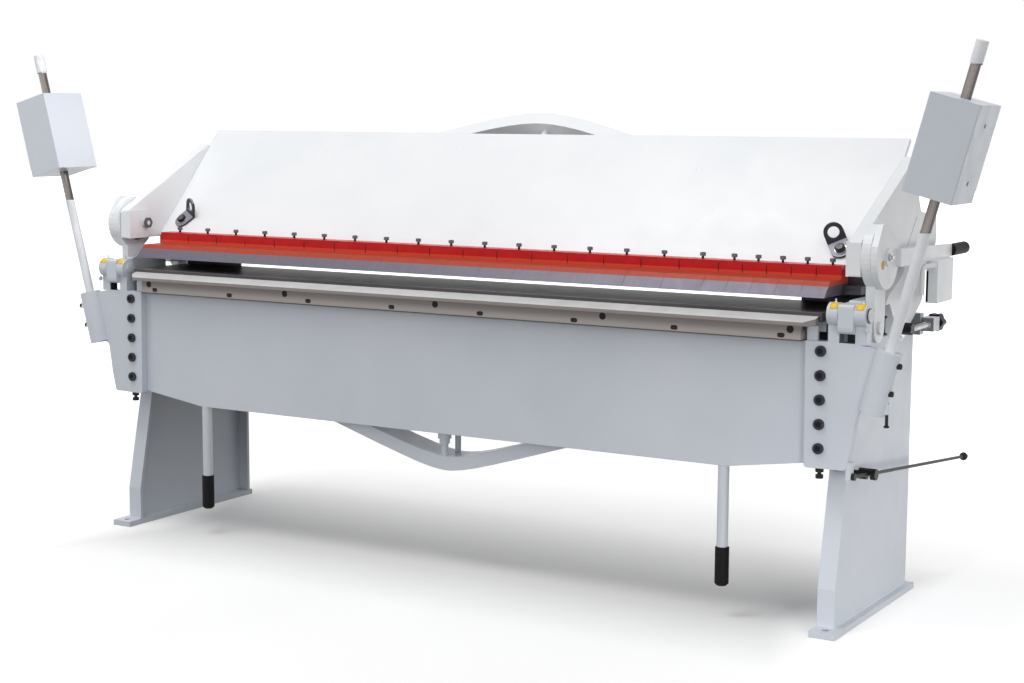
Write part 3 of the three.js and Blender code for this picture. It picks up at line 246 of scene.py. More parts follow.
def paint(name, colour, shade, roughness, bands=(), inner_shade=None, recess=()):
    """Sprayed machine paint: a tone that clouds a little, fine orange peel and worn, slightly darker edges.
    Each band is (low, high, colour): between those heights in metres the surface has another colour.
    Where a colour for the inner shade is given, it is painted shade on the faces of a stand that look inward,
    more towards the top.
    A recess gives the limits in |x|, y and z, in metres, of a gap whose walls are painted dark as shade."""
    material, tree, shader, place = blank(name, roughness, coat=0.15)
    tone = mixed(tree, ramp(tree, noise(tree, place, 420, 4), *CLOUD), shade, colour)
    tone = mixed(tree, ramp(tree, noise(tree, place, 9, 5), 0.68, 0.8, 0, 0.3), tone, SPECK)
    soft = softened(tree, 1.6)
    tone = mixed(tree, edges(tree, soft, 0.3), tone, WORN_PAINT)
    height = coordinate(tree, place, "Z")
    for low, high, other in bands:
        tone = mixed(tree, within(tree, height, low, high), tone, other)
    # Painted shade: the inward faces of a stand are darkened, more towards the top
    if inner_shade:
        inputs = {"Vector": place, "Location": (0, -SHIFT_Y / 1000, 0)}
        centred = add(tree, "ShaderNodeMapping", inputs).outputs["Vector"]
        outward = dot(tree, scaled(tree, centred, (1, 1, 0)), flat_normal(tree))
        inward = ramp(tree, outward, -0.12, -0.24)
        painted_toward_top = ramp(tree, height, 0.05, 0.5, 0.15, 0.8)
        tone = mixed(tree, times(tree, inward, painted_toward_top), tone, inner_shade)
    # Painted shade: the walls of the gap are darkened
    if recess:
        inside = 1.0
        for value, limits in zip((aside(tree, place), coordinate(tree, place, "Y"), height), recess):
            inside = times(tree, inside, within(tree, value, *limits))
        tone = mixed(tree, inside, tone, GAP_SHADE)
    feed(tree, shader.inputs["Base Color"], tone)
    bumped(tree, shader, noise(tree, place, 3.5, 2), 0.12, 0.15, soft)
    sheen = ramp(tree, noise(tree, place, 60, 3), 0.3, 0.7, roughness - 0.06, roughness + 0.08)
    feed(tree, shader.inputs["Roughness"], sheen)
    return material


def steel(
    name,
    colour,
    stain,
    roughness,
    stretch,
    metallic=1.0,
    lined=0.35,
    bright=0.6,
    bands=(),
    top=None,
    blot=70,
):
    """Bare steel: fine lines drawn out along one way, blotches of handling stain and bright worn edges.
    Each band is (height, next, colour): it starts at that height in metres and is whole from the next.
    Faces that look up have the two colours of top, the oiled or ground face that the sheets slide over; on
    the rail that pale top is also a painted highlight."""
    material, tree, shader, place = blank(name, roughness, metallic, specular=0.5 if metallic > 0.5 else 0.2)
    lines = noise(tree, scaled(tree, place, stretch), 1.2, 3)
    stained = ramp(tree, noise(tree, place, blot, 5), 0.4, 0.68)
    tone = mixed(tree, stained, colour, stain)
    height = coordinate(tree, place, "Z")
    for low, high, other in bands:
        tone = mixed(tree, ramp(tree, height, low, high), tone, other)
    tone = mixed(tree, ramp(tree, lines, 0.3, 0.75, 0, lined), tone, DRAWN_LINE)
    if top:
        tone = mixed(tree, ramp(tree, upward(tree), 0.5, 0.6), tone, mixed(tree, stained, *top))
    soft = softened(tree, 0.8)
    feed(tree, shader.inputs["Base Color"], mixed(tree, edges(tree, soft, bright), tone, WORN_STEEL))
    feed(tree, shader.inputs["Roughness"], ramp(tree, lines, 0.3, 0.7, roughness - 0.06, roughness + 0.1))
    bumped(tree, shader, lines, 0.1, 0.05, soft)
    return material


def dark(name, colour, dust, roughness, metallic, size, relief, painted_toward_top=None):
    """Black parts: moulded plastic or black oxide with a fine even grain and a little grey dust on the edges.
    Where a lighter colour is given for faces that look up, it is a painted highlight on them."""
    material, tree, shader, place = blank(name, roughness, metallic, specular=0.25)
    grain = noise(tree, place, size, 3)
    tone = mixed(tree, ramp(tree, grain, 0.35, 0.8), colour, dust)
    # Painted highlight: faces that look up take the lighter colour
    if painted_toward_top:
        tone = mixed(tree, ramp(tree, upward(tree), 0.3, 0.45), tone, painted_toward_top)
    soft = softened(tree, 0.8)
    feed(tree, shader.inputs["Base Color"], mixed(tree, edges(tree, soft, 0.35), tone, WORN_BLACK))
    bumped(tree, shader, grain, 0.35, relief, soft)
    return material


# Heights on the fingers, each with the height at which the change is complete
NOSE_END = (0.9648, 0.9652)
LEDGE_END = (0.988, 0.99)
SLIT_FOOT = (0.983, 0.985)
SLIT_END = (1.0075, 1.009)
BODY_END = (1.0151, 1.0155)
# The slits end on the ledge, behind its front edge, and there is none at the two ends of the row
SLIT_FRONT = (-0.4159, -0.4139)
ROW_END = (1.248, 1.2485)


def finger_paint(name, first, pitch):
    """Fingers: red on the body, bare ground nose below, black screw above, and a dark slit at each joint.
    The first joint lies at that x in metres, and the others follow at that pitch."""
    material, tree, shader, place = blank(name, 0.4, specular=0.2)
    height = coordinate(tree, place, "Z")
    cloud = noise(tree, place, 35, 4)
    red = mixed(tree, ramp(tree, cloud, 0.35, 0.7), "#cc1518", "#bf1719")
    # The ledge is a paler red; the foot of the upright face behind it is painted brighter still, as painted
    # light against its shade, so that it reads like the ledge
    ledge_red = mixed(tree, ramp(tree, upward(tree), 0.3, 0.6), "#d34f38", "#ae402b")
    red = mixed(tree, ramp(tree, height, *LEDGE_END, 1, 0), red, ledge_red)
    soft = softened(tree, 1.0)
    red = mixed(tree, edges(tree, soft, 0.35), red, "#8c2a24")
    along = result(tree, "SUBTRACT", coordinate(tree, place, "X"), first)
    slit = ramp(tree, result(tree, "PINGPONG", along, pitch / 2), 0.0012, 0.0017, 1, 0)
    for limit in (
        ramp(tree, height, *SLIT_FOOT),
        ramp(tree, height, *SLIT_END, 1, 0),
        ramp(tree, coordinate(tree, place, "Y"), *SLIT_FRONT),
        ramp(tree, aside(tree, place), *ROW_END, 1, 0),
    ):
        slit = times(tree, slit, limit)
    red = mixed(tree, slit, red, "#12090b")
    lines = noise(tree, scaled(tree, place, (1, 0.04, 0.04)), 1.5, 3)
    bare = mixed(tree, ramp(tree, lines, 0.3, 0.7), "#6c6873", "#746f7b")
    painted = ramp(tree, height, *NOSE_END)
    tone = mixed(tree, painted, bare, red)
    tone = mixed(tree, ramp(tree, height, *BODY_END), tone, "#1f2024")
    feed(tree, shader.inputs["Base Color"], tone)
    feed(tree, shader.inputs["Metallic"], ramp(tree, painted, 0, 1, 0.3, 0))
    feed(tree, shader.inputs["Roughness"], ramp(tree, cloud, 0.3, 0.7, 0.28, 0.42))
    bumped(tree, shader, lines, 0.08, 0.05, soft)
    return material


# The painted foot of the weight rods ends at the first height, and their painted cap starts at the second
BARE_ROD = (1.1253, 1.5639)


def rod_finish(name):
    """Weight rod: sprayed white foot and cap; between them bare drawn bar with a painted highlight down its
    front and painted shade on its sides.
    """
    material, tree, shader, place = blank(name, 0.38)
    lines = noise(tree, scaled(tree, place, (0.15, 0.15, 1)), 4, 4)
    # Painted highlight: the bare bar is pale where it faces the front and dark where it faces aside
    backward = coordinate(tree, smooth_normal(tree), "Y")
    bare = mixed(tree, ramp(tree, backward, -0.98, -0.5), "#a09894", "#463c39")
    bare = mixed(tree, ramp(tree, lines, 0.3, 0.7, 0, 0.3), bare, "#7d7069")
    white = mixed(tree, ramp(tree, noise(tree, place, 90, 3), *CLOUD), "#e3e6ea", "#eef0f3")
    inside = within(tree, coordinate(tree, place, "Z"), *BARE_ROD)
    feed(tree, shader.inputs["Base Color"], mixed(tree, inside, white, bare))
    feed(tree, shader.inputs["Metallic"], times(tree, inside, 0.3))
    bumped(tree, shader, lines, 0.04, 0.1, softened(tree, 1.0))
    return material


# A wave texture turns by this many radians per metre at a scale of 1
WAVE_TURN = 20


def grip_finish(name, axis, pitch):
    """Rubbery black grip: fine rings round the hand, dusty on their crests, at that pitch in millimetres."""
    material, tree, shader, place = blank(name, 0.6, specular=0.15)
    wave = {"Vector": place, "Scale": per_metre(pitch) / WAVE_TURN * math.tau, "Distortion": 0}
    rings = add(tree, "ShaderNodeTexWave", wave, bands_direction=axis).outputs["Fac"]
    tone = mixed(tree, ramp(tree, noise(tree, place, 3, 3), 0.4, 0.75), "#08080a", "#19191c")
    tone = mixed(tree, ramp(tree, rings, 0.7, 1.0, 0, 0.35), tone, "#2c2c30")
    feed(tree, shader.inputs["Base Color"], tone)
    bumped(tree, shader, rings, 0.5, 0.6)
    return material


def patch(name, colour, shade):
    """A patch of thin film: an even colour that clouds a little."""
    material, tree, shader, place = blank(name, 0.5)
    tone = mixed(tree, ramp(tree, noise(tree, place, 14, 3), *CLOUD), colour, shade)
    feed(tree, shader.inputs["Base Color"], tone)
    return material


# The near-white is partly the beam's own paint and partly painted light from above on the cool grey
COOL_GREY = ("#d3d8e0", "#ccd2db", 0.42)
NEAR_WHITE = ("#f0f2f4", "#e9ecef", 0.38)
# The holder band is dark as bare steel and also painted dark as the shade under the beam
HOLDER_BAND = (0.93, 0.9995, "#2b2a2e")
# Gaps beside the rail's ends and beside the lug shanks, whose walls get painted shade
GAP_BESIDE_RAIL = ((1.17, 1.2505), (-0.43, 0), (0.8, 0.862))
GAP_BESIDE_SHANK = ((1.3045, 1.354), (-0.4734, -0.4064), (0.815, 0.846))
FRAME_PAINT = paint("cool_grey_machine_paint", *COOL_GREY)
# The stands' inner faces get painted shade, darker towards the top
STAND_PAINT = paint("cool_grey_stand_paint", *COOL_GREY, inner_shade="#4c5056")
BEAM_END_PAINT = paint("machine_paint_shaded_beside_rail", *COOL_GREY, recess=GAP_BESIDE_RAIL)
GAP_PAINT = paint("machine_paint_shaded_beside_shank", *COOL_GREY, recess=GAP_BESIDE_SHANK)
BEAM_PAINT = paint("near_white_machine_paint", *NEAR_WHITE)
PANEL_PAINT = paint("near_white_panel_with_dark_holder", *NEAR_WHITE, bands=(HOLDER_BAND,))
# A dark plate colour that is also painted as the shade behind the fingers' ends
DARK_PLATE_AND_SHADE = paint("dark_plate_painted_as_shade", "#2b2a2e", "#29282c", 0.5)

EVEN = (1, 1, 1)
ALONG_X = (0.02, 1, 1)
JAW_TOP = ("#6a6567", "#322e31")
JAW = steel("dark_ground_jaw", "#4a4548", "#3d383b", 0.35, ALONG_X, 0.1, 0.05, 0.2, top=JAW_TOP, blot=520)
# The rail's face has a painted shadow line at its foot, is pale above that and darker again under the ground
# top
RAIL_BANDS = ((0.8205, 0.8212, "#b3aca8"), (0.83, 0.846, "#8f8784"))
# The rail's top is pale as ground steel and painted brighter as a highlight
RAIL_TOP = ("#d9d9da", "#cfcece")
RAIL = steel("ground_rail", "#56514f", "#56514f", 0.4, ALONG_X, 0.1, 0.08, 0.3, RAIL_BANDS, RAIL_TOP)
RAIL_PIN = steel("dark_dowel_end", "#2b2625", "#211d1c", 0.5, EVEN, metallic=0.1, lined=0.03, bright=0.1)
BRIGHT = steel("bright_plated_fastener", "#c4c4c6", "#a2a1a3", 0.22, EVEN)

OXIDE = dark("black_oxide_steel", "#121215", "#232428", 0.42, 0.1, 2.5, 0.05)
SLATE = dark("slate_blue_cap_screw", "#2d2f3a", "#3b3d49", 0.42, 0.2, 2.5, 0.05)
ZINC = dark("grey_zinc_cap_screw", "#5a5e63", "#74787d", 0.38, 0.4, 2.5, 0.05)
# The lugs' faces that look up are painted lighter, as a highlight
LUG_BLACK = dark("blackened_bent_lug", "#33323a", "#45444c", 0.4, 0.3, 6, 0.15, painted_toward_top="#918e9a")
PLASTIC = dark("moulded_black_knob", "#101114", "#1e1f23", 0.45, 0.0, 4, 0.08)
# Near-black painted shade for the bottoms of holes and sockets and for gaps and slots; the fold pins' clips
# use it too
SHADOW = dark("painted_shade_near_black", "#0c0c0e", "#17171a", 0.7, 0.0, 3, 0.05)

ROD = rod_finish("part_painted_weight_rod")
LEVER_GRIP = grip_finish("lever_grip_rubber", "Y", 5)
HANDLE_GRIP = grip_finish("handle_grip_rubber", "Z", 5)
NARROW_START = FINGERS_START + WIDE_FINGERS * WIDE_FINGER
WIDE_RED = finger_paint("red_finger_wide", FINGERS_START / 1000, WIDE_FINGER / 1000)
NARROW_RED = finger_paint("red_finger_narrow", NARROW_START / 1000, NARROW_FINGER / 1000)
YELLOW = patch("plain_yellow_patch", "#f2cf45", "#efc637")
ORANGE = patch("plain_orange_patch", "#d9a13c", "#cf9432")

# A node is near white if its name ends with one of the first words, has the finish of a later word that is
# in its name, and is cool grey otherwise
WHITE_NODES = ("arm", "clamp_lever", "closing_link", "beam_tie_bar")
FINISHES = {
    "_stand": STAND_PAINT,
    "table_beam": BEAM_END_PAINT,
    "hinge_block": GAP_PAINT,
    "end_casting": GAP_PAINT,
    "beam_panel": PANEL_PAINT,
    "table_jaw": JAW,
    "apron_rail": RAIL,
    "weight_rod": ROD,
    "lever_grip": LEVER_GRIP,
    "handle_grip": HANDLE_GRIP,
    "setback_knob": PLASTIC,
    "stop_collar": PLASTIC,
    "stop_rod": OXIDE,
    "stop_swivel": OXIDE,
    "lifting_lug": LUG_BLACK,
    "finger_wide": WIDE_RED,
    "finger_narrow": NARROW_RED,
}
for name, node in nodes.items():
    finish = BEAM_PAINT if name.endswith(WHITE_NODES) else FRAME_PAINT
    for word, other in FINISHES.items():
        if word in name:
            finish = other
    node.data.materials.clear()
    node.data.materials.append(finish)


# ---------------------------------------------------------------- shapes for the pieces


def piece(name, mesh, body, finish):
    """Puts a mesh in the scene as a piece that rides on a body."""
    made = bpy.data.objects.new(name, mesh)
    bpy.context.scene.collection.objects.link(made)
    made.data.materials.append(finish)
    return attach(made, body)


def rounded(mesh):
    """Smooth shading between faces that meet at a small angle."""
    mesh.polygons.foreach_set("use_smooth", [True] * len(mesh.polygons))
    mesh.set_sharp_from_angle(angle=math.radians(35))


def turned(name, body, finish, foot, axis, layers, steps=24, spin=0.0):
    """Rings round an axis from its foot. Each layer is (height, radius), and for a hexagon whose corners the
    radius cuts it is (height, radius, half the width across its flats)."""
    shape = bmesh.new()
    turn = Vector(UP).rotation_difference(Vector(axis)).to_matrix()
    rings = []
    for height, radius, *flat in layers:
        ring = []
        for step in range(steps):
            angle = math.tau * step / steps
            reach = radius
            if flat:
                from_flat = (angle + math.pi / 6) % (math.pi / 3) - math.pi / 6
                reach = min(radius, flat[0] / math.cos(from_flat))
            angle += spin
            point = Vector((reach * math.cos(angle), reach * math.sin(angle), height))
            ring.append(shape.verts.new(metres(*(Vector(foot) + turn @ point))))
        rings.append(ring)
    for low, high in zip(rings, rings[1:]):
        for step in range(steps):
            after = (step + 1) % steps
            shape.faces.new((low[step], low[after], high[after], high[step]))
    shape.faces.new(rings[0][::-1])
    shape.faces.new(rings[-1])
    mesh = bpy.data.meshes.new(name)
    shape.to_mesh(mesh)
    shape.free()
    rounded(mesh)
    piece(name, mesh, body, finish)


def thread(steps, root, crest, rise=1.25, start=0):
    """Layers of a screw thread: rings that lie at its root and at its crest by turns."""
    return [(start + rise * step, crest if step % 2 else root) for step in range(steps)]


def socket_screw(name, body, finish, foot, axis, radius, height):
    """A cap screw head with a rounded rim and a hexagon socket, inside which a near-black plug is painted
    shade.
    """
    key = radius * 0.52
    rim = radius * 0.12
    bottom = height * 0.6
    head = [
        (-1, radius),
        (height - rim, radius),
        (height - rim * 0.3, radius - rim * 0.4),
        (height, radius - rim),
        (height, key * 1.2),
        (height - rim, key * 1.16, key),
        (bottom, key * 1.16, key),
    ]
    turned(name, body, finish, foot, axis, head)
    # Painted shade: a near-black plug inside the socket
    hollow = [(bottom - 0.4, key * 1.1), (bottom + 0.3, key * 1.12, key * 0.96)]
    turned(f"{name}_socket", body, SHADOW, foot, axis, hollow)


def hexagon(name, body, finish, foot, axis, flat, height, hole=0.0):
    """A nut or bolt head with chamfered corners, and a thread end or a dimple in the middle."""
    corner = flat * 1.155
    middle = max(hole, flat * 0.3)
    layers = [
        (0, corner - 0.08 * flat, flat),
        (height * 0.12, corner, flat),
        (height * 0.88, corner, flat),
        (height, corner - 0.1 * flat, flat),
        (height, flat * 0.9),
        (height, middle),
        (height - 0.12 * flat if hole else height + 0.04 * flat, middle * 0.9),
    ]
    turned(name, body, finish, foot, axis, layers)


def skin(name, body, finish, rows, thickness):
    """A thin skin through rows of points, thickened to both sides."""
    points = [metres(*point) for row in rows for point in row]
    width = len(rows[0])
    faces = []
    for row in range(len(rows) - 1):
        for column in range(width - 1):
            corner = row * width + column
            faces.append((corner, corner + 1, corner + width + 1, corner + width))
    mesh = bpy.data.meshes.new(name)
    mesh.from_pydata(points, [], faces)
    rounded(mesh)
    thicken = piece(name, mesh, body, finish).modifiers.new("thickness", "SOLIDIFY")
    thicken.thickness = thickness / 1000
    thicken.offset = 0


def tube(name, body, finish, points, radius):
    """A round bar or weld bead along points."""
    curve = bpy.data.curves.new(name, "CURVE")
    curve.dimensions = "3D"
    curve.bevel_depth = radius / 1000
    curve.bevel_resolution = 3
    curve.use_fill_caps = True
    line = curve.splines.new("POLY")
    line.points.add(len(points) - 1)
    for spot, point in zip(line.points, points):
        spot.co = (*metres(*point), 1)
    piece(name, curve, body, finish)


# ---------------------------------------------------------------- table

STAND_FACE = 1305
FOLD_PIN_END = 1385.4
LINK_PIN_END = 1371.9
PIVOT_FACE = 1342.5

for side, sign in SIDES.items():
    out = (sign, 0, 0)
    # Foot welds: a fillet bead along the stand's outer face and across its front flange
    bead = [(sign * STAND_FACE, -272 + 8 * step, FOOT_TOP) for step in range(74)]
    tube(f"{side}_foot_weld_side", "table", FRAME_PAINT, bead, 3.5)
    bead = [(sign * (1255 + 6.25 * step), -276, FOOT_TOP) for step in range(9)]
    tube(f"{side}_foot_weld_front", "table", FRAME_PAINT, bead, 3.5)
    # Anchor holes in the foot: the dark bottom that shows through
    for number, y in enumerate((-304, 304), 1):
        foot = (sign * 1290, y, 1)
        turned(f"{side}_anchor_shadow_{number}", "table", SHADOW, foot, UP, [(0, 10.9), (6, 10.9)])
    # Fold pin: painted end with a dimple, and its dark clip
    foot = (sign * FOLD_PIN_END, *FOLD_AXIS)
    layers = [(0, 19), (5.2, 19), (5.8, 18.4), (5.8, 4), (4.6, 2.5)]
    turned(f"{side}_pin_ring", "table", FRAME_PAINT, foot, out, layers)
    turned(f"{side}_pin_clip", "table", SHADOW, foot, out, [(0.4, 20.4), (1.8, 20.4)])
    # Link pin's cap with a dimple, and the washer of the beam's pivot
    layers = [(0.3, 18.6), (5, 18.6), (6.6, 17), (6.6, 4), (5, 2.5)]
    turned(f"{side}_link_pin_cap", "table", BEAM_PAINT, (sign * LINK_PIN_END, *LINK_PIN_AXIS), out, layers)
    layers = [(0, 27.5), (4.3, 27.5), (5.4, 26.4), (5.4, 21)]
    turned(f"{side}_pivot_washer", "table", BRIGHT, (sign * PIVOT_FACE, *PIVOT_AXIS), out, layers)
    # Bumper bolt: black head, bright lock nut and thread
    x = sign * BUMPER_X
    hexagon(f"{side}_bumper_head", "table", OXIDE, (x, BUMPER_Y, 874.6), UP, 11.2, 9.9, 4)
    hexagon(f"{side}_bumper_nut", "table", BRIGHT, (x, BUMPER_Y, 815.2), UP, 11.2, 9.6)
    turned(f"{side}_bumper_thread", "table", BRIGHT, (x, BUMPER_Y, 825), UP, thread(40, 8.1, 8.7))
    # Tee bolt and bright stud beside the bumper, on a small painted foot
    layers = [(0, 17), (1, 18), (5, 18), (6, 17)]
    turned(f"{side}_bumper_foot", "table", FRAME_PAINT, (x, -6, 806), UP, layers)
    layers = [(0, 10), (6, 10), (6, 5), (49, 5), (49, 8.6), (50, 9.2), (54.5, 9.2), (56, 8)]
    turned(f"{side}_tee_bolt", "table", OXIDE, (x, -3, 812), UP, layers)
    turned(f"{side}_bright_stud", "table", BRIGHT, (sign * 1318, -17, 812), UP, [(0, 3), (50, 3), (51, 2)])
    # Blackened head of the pivot: it has the same six flats as the solid under it
    foot = (sign * (PIVOT_FACE + 3.9), *PIVOT_AXIS)
    layers = [(0, 17.6, 15.2), (26.5, 17.6, 15.2), (28.4, 16, 15.2), (28.4, 11)]
    turned(f"{side}_pivot_head", "table", OXIDE, foot, out, layers, spin=math.pi / 6)
    # Setback screw: its thread, the lock nut on the block and the washer under the knob
    x = sign * SETBACK_X
    foot = (x, 121.5, SETBACK_Z)
    turned(f"{side}_setback_thread", f"{side}_knob", BRIGHT, foot, BACKWARD, thread(122, 8.2, 8.7))
    hexagon(f"{side}_setback_nut", "table", BRIGHT, (x, 275, SETBACK_Z), FRONTWARD, 13, 9)
    layers = [(0.2, 17), (2.2, 17), (2.6, 16.4), (2.6, 14.3)]
    turned(f"{side}_setback_washer", "table", BRIGHT, (x, 330, SETBACK_Z), BACKWARD, layers)

# ---------------------------------------------------------------- apron

RAIL_SCREWS, RAIL_SCREW_PITCH, RAIL_SCREW_Z = 5, 583, 849
RAIL_PINS, RAIL_PIN_PITCH, RAIL_PIN_Z = 8, 325.5, 831
CASTING_BOLTS, CASTING_BOLT_PITCH, LOWEST_BOLT_Z = 5, 67.4, 524.3
CASTING_FACE = -300
HEIGHT_SCREW_Y = -287.5
ROD_SOCKET_Y = -302
LUG_RADIUS = 32.25
LUG_TOP = 928

# Black cap screws sit in the rail's recesses, each ringed by a near-black disc of painted shade
for number in range(RAIL_SCREWS):
    x = RAIL_SCREW_PITCH * (number - (RAIL_SCREWS - 1) / 2)
    foot = (x, RAIL_FACE + 4, RAIL_SCREW_Z)
    socket_screw(f"rail_screw_{number + 1}", "apron", OXIDE, foot, FRONTWARD, 8.7, 3.6)
    foot = (x, RAIL_FACE + 0.4, RAIL_SCREW_Z)
    turned(f"rail_screw_recess_shade_{number + 1}", "apron", SHADOW, foot, FRONTWARD, [(0, 11), (0.8, 10.6)])

# Dark dowel pins sit in short slots: one oval skin over each pin and its slot
OVAL_HALF_WIDTH = 11
OVAL_HALF_HEIGHT = 6.6
OVAL_ROUNDING = 11.4
spread = [OVAL_HALF_WIDTH * (step / 5 - 1) for step in range(11)]
rise = [OVAL_HALF_HEIGHT * math.sqrt(1 - (across / OVAL_ROUNDING) ** 4) for across in spread]
for number in range(RAIL_PINS):
    x = RAIL_PIN_PITCH * (number - (RAIL_PINS - 1) / 2)
    low = [(x + across, RAIL_FACE, RAIL_PIN_Z - up) for across, up in zip(spread, rise)]
    high = [(x + across, RAIL_FACE, RAIL_PIN_Z + up) for across, up in zip(spread, rise)]
    skin(f"rail_pin_{number + 1}", "apron", RAIL_PIN, [low, high], 0.8)

for side, sign in SIDES.items():
    out = (sign, 0, 0)
    x = sign * CASTING_X
    for number in range(CASTING_BOLTS):
        foot = (x, CASTING_FACE, LOWEST_BOLT_Z + CASTING_BOLT_PITCH * number)
        socket_screw(f"{side}_casting_bolt_{number + 1}", "apron", SLATE, foot, FRONTWARD, 15.5, 8.2)
    hexagon(f"{side}_height_screw_head", "apron", OXIDE, (x, HEIGHT_SCREW_Y, 450.4), DOWN, 10.2, 10.8, 3.5)
    hexagon(f"{side}_height_screw_nut", "apron", OXIDE, (x, HEIGHT_SCREW_Y, 469.2), DOWN, 11, 11.6, 5.5)
    foot = (x, HEIGHT_SCREW_Y, 449)
    turned(f"{side}_height_screw_shank", "apron", OXIDE, foot, UP, [(0, 5.6), (10, 5.6)])
    # Plain yellow patches on the front of both lugs
    fold_y, fold_z = FOLD_AXIS
    for number, (low, high) in enumerate(((1280, 1304), (1354, 1380)), 1):
        rows = []
        for step in range(7):
            angle = math.radians(30 + 8.5 * step)
            y = fold_y - LUG_RADIUS * math.cos(angle)
            z = fold_z + LUG_RADIUS * math.sin(angle)
            rows.append([(sign * low, y, z), (sign * high, y, z)])
        skin(f"{side}_lug_patch_{number}", "apron", YELLOW, rows, 0.3)
    # Grease nipples on top of the lugs
    nipple = [(0, 4.6, 4), (4, 4.6, 4), (4.4, 3), (7, 2.2), (8, 3), (10, 3), (11, 1.6)]
    for number, x in enumerate((1289, 1367), 1):
        foot = (sign * x, fold_y, LUG_TOP)
        turned(f"{side}_grease_nipple_{number}", "apron", BRIGHT, foot, UP, nipple, steps=18)
    # Set screws with lock nuts on the rod socket: those on the left stand prouder
    screws, proud = (((1471, 768), (1450, 692)), 1) if side == "right" else (((1471, 757), (1449, 691)), 7)
    for number, (x, z) in enumerate(screws, 1):
        foot = (sign * (x - 7), ROD_SOCKET_Y, z)
        hexagon(f"{side}_socket_nut_{number}", "apron", BRIGHT, foot, out, 9, 6 + proud)
        foot = (sign * (x + proud), ROD_SOCKET_Y, z)
        socket_screw(f"{side}_socket_screw_{number}", "apron", OXIDE, foot, out, 8, 11)
    # Set screw in the outer face of the outer lug
    layers = [(0.2, 8), (3, 8), (4, 7), (4, 4.4), (2.5, 4)]
    turned(f"{side}_lug_screw", "apron", FRAME_PAINT, (sign * 1384.6, -308, 858), out, layers)
    # Set screws in the outer face of the counterweight
    across = Vector((sign * math.cos(ROD_LEAN), 0, -math.sin(ROD_LEAN)))
    upward_rod = Vector((sign * math.sin(ROD_LEAN), 0, math.cos(ROD_LEAN)))
    rod_foot = Vector((sign * ROD_FOOT[0], *ROD_FOOT[1:]))
    for number, up in enumerate((-76.5, 76.5), 1):
        foot = rod_foot + across * WEIGHT_HALF_WIDTH + upward_rod * (WEIGHT_UP_ROD + up)
        socket_screw(f"{side}_weight_screw_{number}", f"{side}_weight", OXIDE, foot, across, 6.6, 4)

# Screw that hangs from the right rod socket, and its boss
layers = [(0, 6.5), (1.5, 8), (4.5, 8), (6, 5)] + thread(54, 4.3, 4.7, rise=1.5, start=7)
turned("hanging_screw", "apron", OXIDE, (1442, -290, 598), UP, layers)
layers = [(0, 12), (1.5, 14), (28.5, 14), (30, 12)]
turned("screw_boss", "apron", FRAME_PAINT, (1436, -290, 634), UP, layers)

# ---------------------------------------------------------------- clamping beam

FINGER_SCREW_Y, FINGER_SCREW_Z = -120, 1023.6
LUG_BOLT_UP_PANEL = 64

# Screw heads of the fingers, over the plain heads of the solids
edge = FINGERS_START
widths = [WIDE_FINGER] * WIDE_FINGERS + [NARROW_FINGER] * NARROW_FINGERS
head = [(0, 8.6), (8.8, 8.6), (9.7, 8.2), (10, 7.4), (10, 4.8), (9, 4.7, 4.1), (6, 4.7, 4.1)]
for number, width in enumerate(widths, 1):
    foot = (edge + width / 2, FINGER_SCREW_Y, FINGER_SCREW_Z)
    turned(f"finger_screw_{number:02d}", "clamp_beam", ZINC, foot, UP, head)
    edge += width

